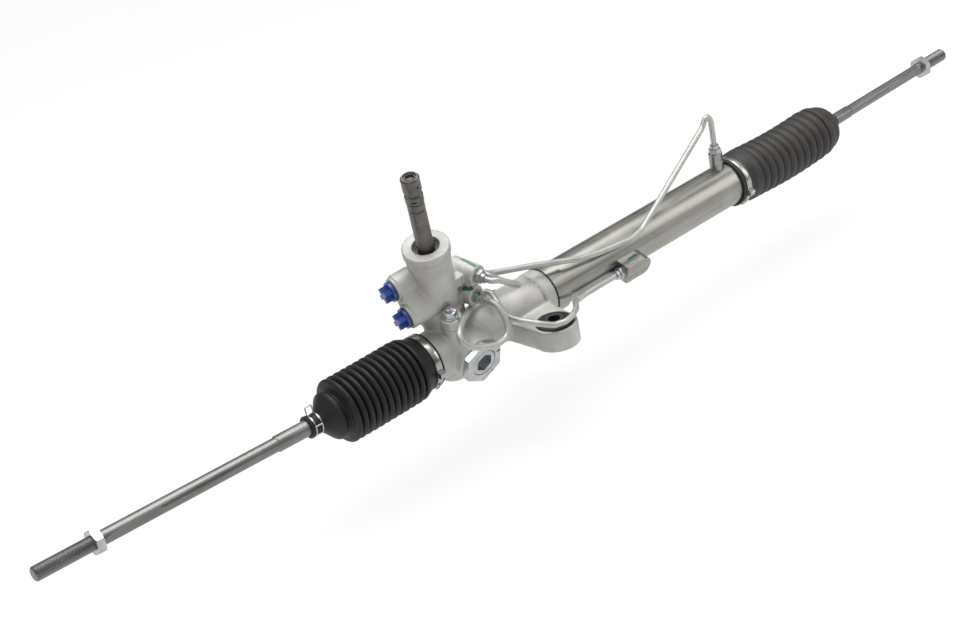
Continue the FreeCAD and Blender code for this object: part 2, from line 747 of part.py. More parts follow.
def rack_bar():
    body = doc.addObject("PartDesign::Body", "RackBar")
    length = right_face - left_face
    outline = body.newObject("Sketcher::SketchObject", "BarSection")
    outline.AttachmentSupport = [(origin_plane(body, "YZ_Plane"), "")]
    outline.MapMode = "FlatFace"
    outline.addGeometry(Part.Circle(Vector(), z_axis, bar_radius.value))
    outline.addConstraint(Sketcher.Constraint("Coincident", 0, 3, -1, 1))
    outline.addConstraint(Sketcher.Constraint("Radius", 0, bar_radius.value))
    outline.setExpression("Constraints[1]", bar_radius.text)
    pad = body.newObject("PartDesign::Pad", "Bar")
    pad.Profile = outline
    bind(pad, "Length", length)
    doc.recompute()

    # one tooth space, then as many as the travel needs
    module = s.tooth_module
    reach = s.travel_half * 2 + s.mesh_length
    count = math.ceil(float(reach) / float(tooth_pitch))
    first = s.pinion_x - s.travel_half + s.rest_shift - s.mesh_length / 2 - left_face
    slope = math.tan(math.radians(float(s.pressure_angle)))
    depth = module * 2 + s.tooth_root_gap
    datum_half = tooth_pitch / 4 + s.tooth_backlash / 2
    tip_half = datum_half + module * slope
    root_half = datum_half - (module + s.tooth_root_gap) * slope
    middle = first + tooth_pitch * tooth_phase(first)
    over = bar_radius + 1
    space = draw(body, "XY_Plane", [(middle - root_half, s.tip_height - depth),
                                    (middle + root_half, s.tip_height - depth),
                                    (middle + tip_half, s.tip_height), (middle + tip_half, over),
                                    (middle - tip_half, over), (middle - tip_half, s.tip_height)])
    pocket = body.newObject("PartDesign::Pocket", "ToothSpace")
    pocket.Profile = space
    pocket.Midplane = True
    bind(pocket, "Length", s.bar_diameter + 2)
    doc.recompute()
    row = body.newObject("PartDesign::LinearPattern", "ToothRow")
    row.Originals = [pocket]
    row.Direction = (space, ["H_Axis"])
    row.Occurrences = count
    bind(row, "Length", tooth_pitch * (count - 1))
    body.Tip = row
    doc.recompute()
    flat_length = tooth_pitch * (count - 1) + tip_half * 2
    flat = draw(body, "XY_Plane", [(middle - tip_half, s.tip_height),
                                   (middle - tip_half + flat_length, s.tip_height),
                                   (middle - tip_half + flat_length, over), (middle - tip_half, over)])
    flat_cut = body.newObject("PartDesign::Pocket", "ToothFlat")
    flat_cut.Profile = flat
    flat_cut.Midplane = True
    bind(flat_cut, "Length", s.bar_diameter + 2)
    body.Tip = flat_cut
    doc.recompute()
    stud_hole = s.stud_length + 2
    holes = [cylinder(s.stud_diameter / 2 + s.running_gap, stud_hole, at(0, 0, 0, to_right)),
             cylinder(s.stud_diameter / 2 + s.running_gap, stud_hole,
                      at(length - stud_hole, 0, 0, to_right))]
    keep("rack_bar", cut(body, holes, rack_frame * at(left_face, 0, 0)))


def tooth_phase(first):
    """How far, in pitches, the first space lies so that one space is centred under the pinion."""
    distance = float(s.pinion_x - left_face - first)
    return (distance / float(tooth_pitch)) % 1


# Pinion

def involute_section():
    """Transverse section of the pinion: a tooth points along -y, towards the rack."""
    lean = math.radians(float(s.pinion_lean))
    teeth = int(float(s.pinion_teeth))
    module = float(s.tooth_module)
    shift = float(s.profile_shift)
    radius = float(pitch_radius)
    transverse = math.atan(math.tan(math.radians(float(s.pressure_angle))) / math.cos(lean))
    base = radius * math.cos(transverse)
    root = radius - module * (1.25 - shift)
    tip = radius + module * (1 + shift) - 0.55
    start = max(base, root) + 0.02

    def spread(at_radius):
        pressure = math.acos(base / at_radius)
        return math.tan(pressure) - pressure

    flank = math.tan(math.radians(float(s.pressure_angle)))
    thickness = module * (math.pi / 2 + 2 * shift * flank) / math.cos(lean)
    half_tooth = (thickness - float(s.tooth_backlash)) / (2 * radius) + spread(radius)
    edges = []
    corners = []

    def point(at_radius, angle):
        return Vector(at_radius * math.cos(angle), at_radius * math.sin(angle), 0)

    for tooth in range(teeth):
        middle = -math.pi / 2 + tooth * 2 * math.pi / teeth
        radii = [start + (tip - start) * step / 4 for step in range(5)]
        rising = [point(r, middle - half_tooth + spread(r)) for r in radii]
        falling = [point(r, middle + half_tooth - spread(r)) for r in reversed(radii)]
        corners.append((rising, falling, middle))
    for number, (rising, falling, middle) in enumerate(corners):
        after, _, after_middle = corners[(number + 1) % teeth]
        if number + 1 == teeth:
            after_middle += 2 * math.pi
        flank_up = Part.BSplineCurve()
        flank_up.interpolate(rising)
        flank_down = Part.BSplineCurve()
        flank_down.interpolate(falling)
        valley = (middle + after_middle) / 2
        edges += [flank_up.toShape(), Part.Arc(rising[-1], point(tip, middle), falling[0]).toShape(),
                  flank_down.toShape(), Part.Arc(falling[-1], point(root, valley), after[0]).toShape()]
    return Part.Wire(edges)


def pinion():
    face = float(s.pinion_face)
    turn = math.degrees(face * math.tan(math.radians(float(s.pinion_lean))) / float(pitch_radius))
    steps = 8
    sections = []
    section = involute_section()
    for step in range(steps + 1):
        share = step / steps - 0.5
        slice_wire = section.copy()
        slice_wire.rotate(Vector(), z_axis, turn * share)
        slice_wire.translate(Vector(0, 0, face * share))
        sections.append(slice_wire)
    teeth = solid(Part.makeLoft(sections, True, False))
    journal = s.pinion_journal / 2
    half = s.pinion_face / 2
    seat = s.upper_bearing_bore / 2
    foot = s.pinion_boss_top - s.upper_bearing_width
    nut_foot = half + s.lower_bearing_width + s.pinion_nut_height + 1.5
    shoulder_top = foot
    head_top = s.pinion_boss_top + s.pinion_head_length
    shaft = turned([(0, -nut_foot), (journal - 1, -nut_foot), (journal - 1, -half - s.lower_bearing_width),
                    (journal, -half - s.lower_bearing_width), (journal, half + 1),
                    (s.pinion_shoulder / 2 + 1, half + 2), (s.pinion_shoulder / 2 + 1, shoulder_top),
                    (seat, shoulder_top), (seat, s.pinion_boss_top + 0.5),
                    (s.pinion_head_diameter / 2, s.pinion_boss_top + 1),
                    (s.pinion_head_diameter / 2, head_top), (0, head_top)])
    bar_hole = cylinder(s.torsion_bar_end / 2 + s.running_gap, 30, at(0, 0, head_top - 29))
    nose_hole = cylinder(s.shaft_waist_diameter / 2 - 1, 9, at(0, 0, head_top - 8))
    keep("pinion", cut(fuse([teeth, shaft]), [bar_hole, nose_hole], pinion_frame))


def pinion_mountings():
    half = s.pinion_face / 2
    journal = s.pinion_journal / 2
    keep("pinion_lower_bearing", ring(s.lower_bearing_diameter / 2, journal + s.running_gap,
                                      -half - s.lower_bearing_width,
                                      s.lower_bearing_width, pinion_frame))
    keep("pinion_nut", chamfered_hexagon(s.pinion_nut_flats, s.pinion_nut_height, journal - 1,
                                         pinion_frame
                                         * at(0, 0,
                                              -half - s.lower_bearing_width - s.pinion_nut_height - 0.3)))
    foot = s.pinion_boss_top - s.upper_bearing_width
    middle = (s.upper_bearing_diameter / 2 + s.upper_bearing_bore / 2) / 2
    keep("upper_bearing_outer_ring", ring(s.upper_bearing_diameter / 2, middle + s.running_gap, foot,
                                          s.upper_bearing_width, pinion_frame))
    # the inner ring bears on the pinion's shoulder and stays clear of the housing's
    bore = s.upper_bearing_bore / 2
    land = s.pinion_shoulder / 2 + 1
    top = s.pinion_boss_top
    clear = foot + s.upper_bearing_relief
    keep("upper_bearing_inner_ring", turned([(bore, foot), (land, foot), (land, clear), (middle, clear),
                                             (middle, top), (bore, top)], pinion_frame))
    cap = turned([(0, -3), (s.cap_diameter / 2 + 2, -3), (s.cap_diameter / 2 + 2, 0),
                  (s.cap_diameter / 2, 0),
                  (s.cap_diameter / 2, s.cap_length), (s.cap_diameter / 2 - 2.5, s.cap_length),
                  (s.cap_diameter / 2 - 2.5, 1), (0, 1)])
    socket = hexagon(12, 3, at(0, 0, -4))
    keep("pinion_cap", cut(cap, [socket], pinion_frame * at(0, 0, -s.pinion_boss_foot)))


def valve_parts():
    head_top = s.pinion_boss_top + s.pinion_head_length
    foot = head_top - s.pinion_head_length * 0.6
    top = foot + s.sleeve_length
    outer = s.valve_bore / 2 - s.running_gap
    head = s.pinion_head_diameter / 2
    inner = s.valve_shaft_diameter / 2 + s.running_gap
    groove = outer - s.sleeve_ring_depth
    outline = [(head, foot), (outer, foot)]
    spacing = s.sleeve_length / 4
    for number in range(4):
        start = foot + spacing * (number + 0.5) - s.sleeve_ring_width / 2
        outline += [(outer, start), (groove, start), (groove, start + s.sleeve_ring_width),
                    (outer, start + s.sleeve_ring_width)]
    outline += [(outer, top), (inner, top), (inner, head_top), (head, head_top)]
    keep("valve_sleeve", turned(outline, pinion_frame))
    rings = [ring(s.valve_bore / 2 - s.running_gap / 2, groove,
                  foot + spacing * (number + 0.5) - s.sleeve_ring_width / 2,
                  s.sleeve_ring_width, pinion_frame) for number in range(4)]
    keep("valve_sleeve_rings", fuse(rings))
    return head_top, top


def input_shaft():
    head_top = s.pinion_boss_top + s.pinion_head_length
    sleeve_top = head_top - s.pinion_head_length * 0.6 + s.sleeve_length
    radius = s.shaft_diameter / 2
    valve = s.valve_shaft_diameter / 2
    nose = s.shaft_waist_diameter / 2 - 1 - s.running_gap
    top = s.shaft_head_top
    head = s.shaft_head_diameter / 2
    waist = s.shaft_waist_diameter / 2
    collar = s.shaft_ring_diameter / 2
    waist_top = top - s.shaft_head_length
    collar_top = waist_top - s.shaft_waist_length
    collar_foot = collar_top - s.shaft_ring_length
    groove = collar_foot - 8
    start = head_top + s.soft_gap
    shaft = turned([(0, start - 6), (nose, start - 6), (nose, start), (valve, start),
                    (valve, sleeve_top - 1),
                    (radius, sleeve_top), (radius, groove - 1), (radius - 0.5, groove - 1),
                    (radius - 0.5, groove),
                    (radius, groove), (radius, collar_foot - 1), (radius - 0.7, collar_foot),
                    (collar, collar_foot),
                    (collar, collar_top), (waist, collar_top), (waist, waist_top), (head, waist_top + 0.8),
                    (head, top - 1), (head - 1, top), (0, top)])
    bore = s.torsion_bar_end / 2 + s.running_gap
    tools = [
        cylinder(bore, top - start + 10, at(0, 0, start - 8)),
        cone(bore, bore + 2.4, 3.1, at(0, 0, top - 3)),
        cylinder(s.pin_diameter / 2, s.shaft_head_diameter + 2,
                 at(0, s.shaft_head_diameter / 2 + 1, top - s.shaft_head_length / 2, Rotation(x_axis, 90))),
        box(3, 3, 2.6, at(-s.shaft_ring_diameter * 0.3, -s.shaft_ring_diameter / 2, collar_foot)),
    ]
    keep("input_shaft", cut(shaft, tools, pinion_frame))
    bar = turned([(0, head_top - 27), (s.torsion_bar_end / 2, head_top - 27),
                  (s.torsion_bar_end / 2, head_top - 9),
                  (s.torsion_bar_diameter / 2, head_top - 6),
                  (s.torsion_bar_diameter / 2, top - s.shaft_head_length - 2),
                  (s.torsion_bar_end / 2, top - s.shaft_head_length), (s.torsion_bar_end / 2, top - 3),
                  (0, top - 3)])
    pin_hole = cylinder(s.pin_diameter / 2, s.torsion_bar_end + 2,
                        at(0, s.torsion_bar_end / 2 + 1, top - s.shaft_head_length / 2,
                           Rotation(x_axis, 90)))
    keep("torsion_bar", cut(bar, [pin_hole], pinion_frame))
    keep("torsion_bar_pin", cylinder(s.pin_diameter / 2, s.shaft_head_diameter - 1.6,
                                     pinion_frame * at(0, s.shaft_head_diameter / 2 - 0.8,
                                                       top - s.shaft_head_length / 2,
                                                       Rotation(x_axis, 90))))
    mouth = s.mouth_bore / 2
    seal_foot = s.valve_bore_top
    keep("input_shaft_seal", ring(mouth, radius + s.running_gap, seal_foot, s.shaft_seal_width,
                                  pinion_frame))
    bearing_foot = seal_foot + s.shaft_seal_width
    keep("input_shaft_bearing", ring(mouth, radius + s.running_gap, bearing_foot, s.shaft_bearing_width,
                                     pinion_frame))
    clip_foot = bearing_foot + s.shaft_bearing_width
    keep("bearing_circlip", ring(mouth, mouth - 2.6, clip_foot, s.circlip_width, pinion_frame))


# Rack yoke, spring, adjusting plug and lock nut

def yoke_parts():
    radius = s.yoke_diameter / 2
    top = s.yoke_length
    block = turned([(0, 3), (radius - s.running_gap, 3), (radius - s.running_gap, top),
                    (s.spring_diameter / 2 + 0.5, top),
                    (s.spring_diameter / 2 + 0.5, top - s.spring_seat), (0, top - s.spring_seat)])
    cradle = cylinder(bar_radius + s.running_gap, s.yoke_diameter + 4,
                      at(-s.yoke_diameter / 2 - 2, 0, 0, to_right))
    keep("rack_yoke", cut(block, [cradle], yoke_frame))
    plug_foot = top + s.yoke_gap
    face = s.yoke_plug_face
    plug = turned([(s.spring_diameter / 2 + 0.5, plug_foot), (radius, plug_foot), (radius, face - 1),
                   (radius - 1, face), (0, face),
                   (0, plug_foot + 4), (s.spring_diameter / 2 + 0.5, plug_foot + 4)])
    corner_turn = Rotation(z_axis, 30)
    socket = hexagon(s.yoke_socket_flats, s.yoke_socket_depth + 1,
                     at(0, 0, face - s.yoke_socket_depth, corner_turn))
    keep("yoke_adjusting_plug", cut(plug, [socket], yoke_frame))
    keep("yoke_lock_nut", chamfered_hexagon(s.lock_nut_flats, s.lock_nut_height, radius,
                                            yoke_frame * at(0, 0, s.yoke_boss_face, corner_turn)))
    foot = float(top - s.spring_seat)
    height = float(plug_foot + 4) - foot
    wire = float(s.spring_wire) / 2
    coil = float(s.spring_diameter) / 2 - wire
    turns = float(s.spring_turns)
    helix = Part.makeHelix((height - 2 * wire - 0.2) / turns, height - 2 * wire - 0.2, coil)
    profile = Part.Wire([Part.Circle(Vector(coil, 0, 0), y_axis, wire).toShape()])
    keep("yoke_spring", solid(Part.Wire(helix).makePipeShell([profile], True, True),
                              yoke_frame * at(0, 0, foot + wire + 0.1)))


# Inner ball joints and tie rods, the same on both sides

def side_values(side):
    if side == "left":
        return SimpleNamespace(
            sign=-1, face=left_face, turn=to_left, seat_radius=barrel_radius,
            rise=s.left_rod_rise, length=s.left_rod_length, rod=s.left_rod_diameter / 2,
            nut=s.left_rod_length - s.left_thread_shown - s.jam_nut_height,
            shank=s.left_shank_diameter / 2, shank_end=s.left_shank_length,
            outer=s.left_bellows_diameter / 2, edge=s.left_bellows_edge, seat=s.left_bellows_seat,
            shoulder=s.left_bellows_shoulder, fold=s.left_bellows_fold, folds=s.left_bellows_folds,
            neck=s.left_neck_start, neck_length=s.left_neck_length)
    return SimpleNamespace(
        sign=1, face=right_face, turn=to_right, seat_radius=tube_radius,
        rise=s.right_rod_rise, length=s.right_rod_length, rod=s.right_rod_diameter / 2,
        nut=s.right_rod_length - s.right_thread_shown - s.jam_nut_height,
        shank=s.right_shank_diameter / 2, shank_end=s.right_shank_length,
        outer=s.right_bellows_diameter / 2, edge=tube_right - s.right_bellows_setback, seat=s.right_bellows_seat,
        shoulder=s.right_bellows_shoulder, fold=s.right_bellows_fold, folds=s.right_bellows_folds,
        neck=s.right_neck_start, neck_length=s.right_neck_length)


def rod_frame(v):
    """Ball centre, with z out along the tie rod, which the photograph shows slightly raised."""
    centre = v.face + s.ball_centre * v.sign
    return along_rack(centre, Rotation(y_axis, v.sign * (90 - float(v.rise))))


def ball_joint(side):
    v = side_values(side)
    place = along_rack(v.face, v.turn)
    outer = s.socket_diameter / 2
    ball_radius = s.ball_diameter / 2
    cavity = ball_radius + s.seat_wall + s.running_gap * 2
    centre = s.ball_centre
    mouth = s.socket_length
    stud = s.stud_diameter / 2
    blank = turned([(0, -s.stud_length), (stud - 1, -s.stud_length), (stud, 1 - s.stud_length), (stud, 0),
                    (outer - 4, 0), (outer, 4),
                    (outer, mouth - 8), (outer - 4, mouth), (0, mouth)])
    slope = math.tan(math.radians(float(s.swing_angle) + 1.5))
    clear = s.rod_neck / 2 / math.cos(math.radians(float(s.swing_angle))) + 0.6
    opening = cone(clear, clear + (mouth - centre + 1) * slope, mouth - centre + 1, at(0, 0, centre))
    flats = [box(12, outer * 2 + 2, 12, at(sign * (outer + 4.5), 0, 3)) for sign in (1, -1)]
    keep(f"inner_ball_socket_{side}", cut(blank, [ball(cavity, at(0, 0, centre)), opening] + flats, place))

    seat_ball = ball(cavity - s.running_gap, at(0, 0, 0))
    hollow = ball(ball_radius + s.running_gap, at(0, 0, 0))
    front = cone(clear, clear + 20 * slope * 1.35, 20, at(0, 0, 1))
    keep(f"ball_seat_{side}", cut(seat_ball, [hollow, front], along_rack(v.face, v.turn) * at(0, 0, centre)))

    # Under the jam nut the thread is drawn at its pitch diameter, where the two flanks meet.
    frame = rod_frame(v)
    thread = s.thread_diameter / 2
    pitch = s.thread_pitch_diameter / 2
    neck = s.rod_neck / 2
    flats_end = v.nut - s.rod_flats_gap
    thread_start = v.nut + s.jam_nut_height + 0.5
    bar = turned([(0, 0), (neck, 0), (neck, ball_radius + 2), (v.shank, ball_radius + 5),
                  (v.shank, v.shank_end),
                  (v.rod, v.shank_end + 1.5), (v.rod, flats_end), (pitch, flats_end + 0.6),
                  (pitch, thread_start),
                  (thread, thread_start), (thread, v.length - 1.5), (thread - 1.5, v.length), (0, v.length)])
    body = fuse([ball(ball_radius), bar])
    cheek = v.rod * 2
    cuts = [box(cheek, cheek + 2, s.flats_length,
                at(sign * (s.rod_flats / 2 + cheek / 2), 0, flats_end - s.flats_length))
            for sign in (1, -1)]
    keep(f"tie_rod_{side}", cut(body, cuts, frame))
    keep(f"jam_nut_{side}", chamfered_hexagon(s.jam_nut_flats, s.jam_nut_height, pitch,
                                              frame * at(0, 0, v.nut)))


def bellows(side):
    v = side_values(side)
    place = along_rack(v.edge, v.turn)
    inner = v.seat_radius + 0.02
    seat_outer = v.seat_radius + s.bellows_wall
    valley = v.outer - s.bellows_depth
    lining = valley - 1.6
    count = int(float(v.folds))
    pitch = v.fold / count
    neck_inner = v.shank + s.running_gap
    neck_outer = neck_inner + s.neck_wall
    fold_start = v.seat + v.shoulder
    fold_end = fold_start + v.fold
    ball_place = (v.face - v.edge) * v.sign + s.ball_centre
    neck_start = ball_place + v.neck
    mouth = ball_place - s.ball_centre + s.socket_length
    outline = [(inner, 0), (seat_outer + 0.8, 0), (seat_outer + 0.8, 1.4), (seat_outer, 1.6),
               (seat_outer, v.seat - 1),
               (v.outer - 1.5, fold_start)]
    for number in range(count):
        foot = fold_start + pitch * number
        if number:
            outline += [(valley, foot)]
        outline += [(v.outer - 0.6, foot + pitch * 0.4), (v.outer - 0.6, foot + pitch * 0.6)]
    if v.sign < 0:
        outline += [(21, fold_end + 2), (24, fold_end + 6), (23, fold_end + 9),
                    (neck_outer + 3, neck_start - 3)]
        end_lining = [(18.9, mouth + 1), (18.4, mouth - 4)]
    else:
        outline += [(v.outer - 2.5, fold_end), (v.outer - 6, mouth - 5), (19.3, mouth + 1)]
        end_lining = [(16.6, mouth + 0.4), (21.5, mouth - 7)]
    outline += [(neck_outer + 1, neck_start - 0.5), (neck_outer + 1, neck_start + 0.5),
                (neck_inner + 0.6, neck_start + 0.5)]
    outline += end_lining + [(lining, fold_end - pitch), (lining, v.seat + pitch - 2), (inner, v.seat - 1)]
    skirt = turned(outline, place)
    frame = rod_frame(v)
    neck = ring(neck_outer, neck_inner, v.neck - 0.4, v.neck_length + 0.4, frame)
    opening = cylinder(neck_inner, v.neck_length + 2, frame * at(0, 0, v.neck - 2))
    keep(f"bellows_{side}", cut(fuse([skirt, neck]), [opening]))

    band_inner = seat_outer
    band_foot = v.seat / 2 - s.band_width / 2 + 0.4
    band = ring(band_inner + s.band_thickness, band_inner, band_foot, s.band_width, place)
    towards = place * at(0, 0, band_foot, Rotation(z_axis, -95 if v.sign < 0 else -70))
    ear = box(s.band_ear_height, 4.4, s.band_width,
              towards * at(band_inner + s.band_thickness / 2 + s.band_ear_height / 2, 0, 0))
    keep(f"large_clamp_{side}", fuse([band, ear]))
    clip_inner = neck_outer
    clip_foot = v.neck + v.neck_length / 2 - s.clip_width / 2
    clip = ring(clip_inner + s.band_thickness, clip_inner, clip_foot, s.clip_width, frame)
    tab_turn = Rotation(z_axis, 0 if v.sign < 0 else 180)
    tab = box(9, 7, 1.6, frame * at(0, 0, clip_foot + s.clip_width / 2 - 0.8, tab_turn)
              * at(clip_inner + s.band_thickness / 2 + 4.5, 0, 0))
    keep(f"small_clip_{side}", fuse([clip, tab]))


# Oil pipes between the valve housing and the cylinder tube

def on(frame, x, y, z):
    return frame.multVec(Vector(float(x), float(y), float(z)))


def oil_pipes():
    seat = 0.4 - s.pipe_seat_depth
    radius = float(s.pipe_diameter) / 2
    bend = float(s.pipe_bend)
    left_port = left_port_frame()
    right_port = rack_line * at(s.right_port_x, 0, s.right_boss_height)

    long_route = [on(upper_outlet, 0, 0, seat), on(upper_outlet, 0, 0, 16),
                  Vector(-43.9, 17, 88), Vector(-25, 14, 75.5), Vector(-11.9, 30, 63.4),
                  Vector(-19, 44, 68.6), Vector(-33.8, 46, 81.1), Vector(-30.5, 56, 79.7),
                  Vector(-17.6, 62, 71), Vector(26, 51, 61.8), Vector(76.5, 38, 49.3),
                  Vector(100, 35, 46), Vector(140, 31, 43), Vector(160, 34, 45), on(right_port, -14, 0, 34),
                  on(right_port, -6, 0, 45), on(right_port, 0, 0, 38), on(right_port, 0, 0, seat)]
    loop_route = [on(lower_outlet, 0, 0, seat), on(lower_outlet, 0, 0, 25), Vector(-50.7, 8, 52.1),
                  Vector(-52.9, 4, 44.3),
                  Vector(-58.4, 2, 37.7), Vector(-71.9, 0, 37.3), Vector(-91.3, 0, 43.3),
                  Vector(-104.2, 2, 50.9),
                  Vector(-108.8, 6, 59.6), Vector(-102.9, 12, 64.8), Vector(-86.6, 24, 65.3),
                  Vector(-60.7, 47, 57.3),
                  Vector(-46.6, 56, 56.4), Vector(-33.1, 58, 60), Vector(-30.4, 50, 59.5),
                  Vector(-36.3, 32, 49.5),
                  Vector(-40.8, 16, 46.7), Vector(-36.2, 3, 44), Vector(-25.4, -10, 39.1),
                  Vector(-13, -15, 32.9),
                  Vector(-1, -18, 31.8), Vector(11, -15, 31.6),
                  Vector(23.5, -7.5, 31.4), Vector(33, 4, 25.9), Vector(52, 27, 15.5),
                  on(left_port, -52, 0, s.left_pipe_radius), on(left_port, -seat, 0, s.left_pipe_radius)]
    for name, route in (("long_oil_pipe", long_route), ("looped_oil_pipe", loop_route)):
        shape, length = bent_tube(route, bend, radius)
        share = shape.Volume / (math.pi * radius ** 2 * length)
        print(name, "length", round(length), "volume share", round(share, 4))
        keep(name, solid(shape))

    nuts = []
    flat_down = Rotation(z_axis, 30)
    for frame in (upper_outlet, lower_outlet,
                  left_port * at(0, 0, s.left_pipe_radius, to_left * flat_down), right_port):
        nut = fuse([hexagon(s.pipe_nut_flats, s.pipe_nut_length - 4, at()),
                    cylinder(s.pipe_nut_flats / 2 - 1.2, s.pipe_nut_length, at()),
                    cylinder(s.pipe_nut_flats / 2 - 0.7, s.pipe_seat_depth - 2,
                             at(0, 0, 2 - s.pipe_seat_depth))])
        nuts.append(cut(nut, [cylinder(s.pipe_diameter / 2 + s.running_gap, s.pipe_nut_length * 2 + 4,
                                       at(0, 0, -s.pipe_nut_length))], frame))
    keep("pipe_nuts", fuse(nuts))


def port_plugs():
    plugs = []
    seals = []
    for sign in (1, -1):
        frame = inlet_frame(sign) * at(0, 0, s.inlet_reach)
        seal = s.plug_seal_thickness
        disc_top = seal + s.plug_disc_thickness
        plugs.append(cylinder(s.plug_disc_diameter / 2, s.plug_disc_thickness, frame * at(0, 0, seal)))
        plugs.append(cylinder(s.inlet_bore / 2 - 0.1, s.inlet_bore_depth * 0.7,
                              frame * at(0, 0, disc_top - 1 - s.inlet_bore_depth * 0.7)))
        for angle in (45, 135):
            plugs.append(box(s.plug_disc_diameter * 0.78, s.plug_prong_width, s.plug_prong_length,
                             frame * at(0, 0, disc_top - 0.5, Rotation(z_axis, angle))))
        seals.append(ring(s.plug_disc_diameter / 2 - 0.4, s.inlet_bore / 2, 0, seal, frame))
    keep("port_plugs", fuse(plugs))
    keep("port_plug_seals", fuse(seals))


rack_housing()
valve_housing()
valve_housing_bolts()
mounting_bush("front", 0, 0, 0)
mounting_bush("rear", s.rear_ear_x, s.rear_ear_y, s.rear_ear_drop)
cylinder_tube()
tube_inside()
piston_parts()
rack_bar()
pinion()
pinion_mountings()
valve_parts()
input_shaft()
yoke_parts()
for side in ("left", "right"):
    ball_joint(side)
    bellows(side)
oil_pipes()
port_plugs()

doc.recompute()
for thing in doc.Objects:
    if "Invalid" in thing.State or "Error" in thing.State:
        raise RuntimeError(f"{thing.Name} ({thing.Label}) failed: {thing.State}")
os.makedirs("parts", exist_ok=True)
for name, thing in pieces.items():
    shape = thing.Shape
    if shape.isNull() or not shape.isValid():
        raise RuntimeError(f"{name} has no valid shape")
    shape.exportStep(f"parts/{name}.step")
    print(name, "solids", len(shape.Solids), "volume", round(shape.Volume))
print(len(pieces), "nodes")
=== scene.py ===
import json
import math

import bmesh
import bpy
from mathutils import Matrix, Vector


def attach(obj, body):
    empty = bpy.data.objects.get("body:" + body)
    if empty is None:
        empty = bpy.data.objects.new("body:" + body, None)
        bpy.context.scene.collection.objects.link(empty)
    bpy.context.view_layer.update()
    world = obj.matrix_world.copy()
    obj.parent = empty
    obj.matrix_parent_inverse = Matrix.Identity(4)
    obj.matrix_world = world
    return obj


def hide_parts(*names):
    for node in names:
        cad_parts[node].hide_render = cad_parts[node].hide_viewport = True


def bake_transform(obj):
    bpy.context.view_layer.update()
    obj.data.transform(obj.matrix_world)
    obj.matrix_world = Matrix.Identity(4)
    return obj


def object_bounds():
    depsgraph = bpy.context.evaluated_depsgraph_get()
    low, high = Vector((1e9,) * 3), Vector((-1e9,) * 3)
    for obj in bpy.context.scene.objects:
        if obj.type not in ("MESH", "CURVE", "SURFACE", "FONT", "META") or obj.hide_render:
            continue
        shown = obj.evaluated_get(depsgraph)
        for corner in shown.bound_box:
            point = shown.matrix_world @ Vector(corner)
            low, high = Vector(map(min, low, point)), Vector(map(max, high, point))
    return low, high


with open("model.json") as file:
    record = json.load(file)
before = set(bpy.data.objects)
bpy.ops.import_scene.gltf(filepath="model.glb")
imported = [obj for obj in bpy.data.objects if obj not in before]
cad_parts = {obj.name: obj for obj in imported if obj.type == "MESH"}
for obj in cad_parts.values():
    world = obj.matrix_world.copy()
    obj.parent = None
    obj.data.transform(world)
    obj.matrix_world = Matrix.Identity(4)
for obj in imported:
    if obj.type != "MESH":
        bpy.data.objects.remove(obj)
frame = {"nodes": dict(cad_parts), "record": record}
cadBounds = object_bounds()
nodes = frame["nodes"]
print("frame loaded:", len(nodes), "nodes")

mm = 0.001


# Small helpers for objects and meshes

def linked(obj):
    bpy.context.scene.collection.objects.link(obj)
    return obj


def meshObject(name, mesh, material=None, smooth=True):
    obj = linked(bpy.data.objects.new(name, mesh))
    if material:
        mesh.materials.clear()
        mesh.materials.append(material)
    for face in mesh.polygons:
        face.use_smooth = smooth
    return obj


# Smooth shading, with sharp edges where faces meet at more than an angle in degrees
def shaded(obj, sharp=None):
    for face in obj.data.polygons:
        face.use_smooth = True
    if sharp is not None:
        obj.data.set_sharp_from_angle(angle=math.radians(sharp))
    return obj


# Live modifiers become a plain mesh at the origin
def finished(obj):
    bpy.context.view_layer.update()
    graph = bpy.context.evaluated_depsgraph_get()
    mesh = bpy.data.meshes.new_from_object(obj.evaluated_get(graph))
    mesh.transform(obj.matrix_world)
    old = obj.data
    name = obj.name
    bpy.data.objects.remove(obj)
    if old.users == 0 and isinstance(old, bpy.types.Mesh):
        bpy.data.meshes.remove(old)
    mesh.name = name
    return linked(bpy.data.objects.new(name, mesh))


# A frame whose x axis runs along a direction, with z as near to upright as it can be
def frameAlong(place, direction):
    xAxis = Vector(direction).normalized()
    yAxis = Vector((0, 0, 1)).cross(xAxis).normalized()
    zAxis = xAxis.cross(yAxis)
    turn = Matrix((xAxis, yAxis, zAxis)).transposed().to_4x4()
    return Matrix.Translation(Vector(place) * mm) @ turn


def movedAlong(frameMatrix, along):
    return frameMatrix @ Matrix.Translation((along * mm, 0, 0))


# Replaces each inner corner of an outline by an arc, as large as its two sides allow
def roundedOutline(points, radius, steps=5):
    mostOfSide = 0.48
    leastCut = 0.02
    nearlyStraight = 1.5
    made = [Vector(points[0])]
    for before, corner, after in zip(points, points[1:], points[2:]):
        corner = Vector(corner)
        toBefore = Vector(before) - corner
        toAfter = Vector(after) - corner
        half = toBefore.angle(toAfter) / 2
        cutBack = min(radius / math.tan(half), toBefore.length * mostOfSide, toAfter.length * mostOfSide)
        if cutBack < leastCut or half > nearlyStraight:
            made.append(corner)
            continue
        arcRadius = cutBack * math.tan(half)
        inward = (toBefore.normalized() + toAfter.normalized()).normalized()
        middle = corner + inward * arcRadius / math.sin(half)
        first = corner + toBefore.normalized() * cutBack - middle
        last = corner + toAfter.normalized() * cutBack - middle
        sweep = first.angle_signed(last)
        for step in range(steps + 1):
            made.append(middle + Matrix.Rotation(-sweep * step / steps, 2) @ first)
    made.append(Vector(points[-1]))
    return made


# The closed outline of a flat hoop
def hoopOutline(near, far, inner, height):
    return [(near, inner), (far, inner), (far, inner + height), (near, inner + height), (near, inner)]


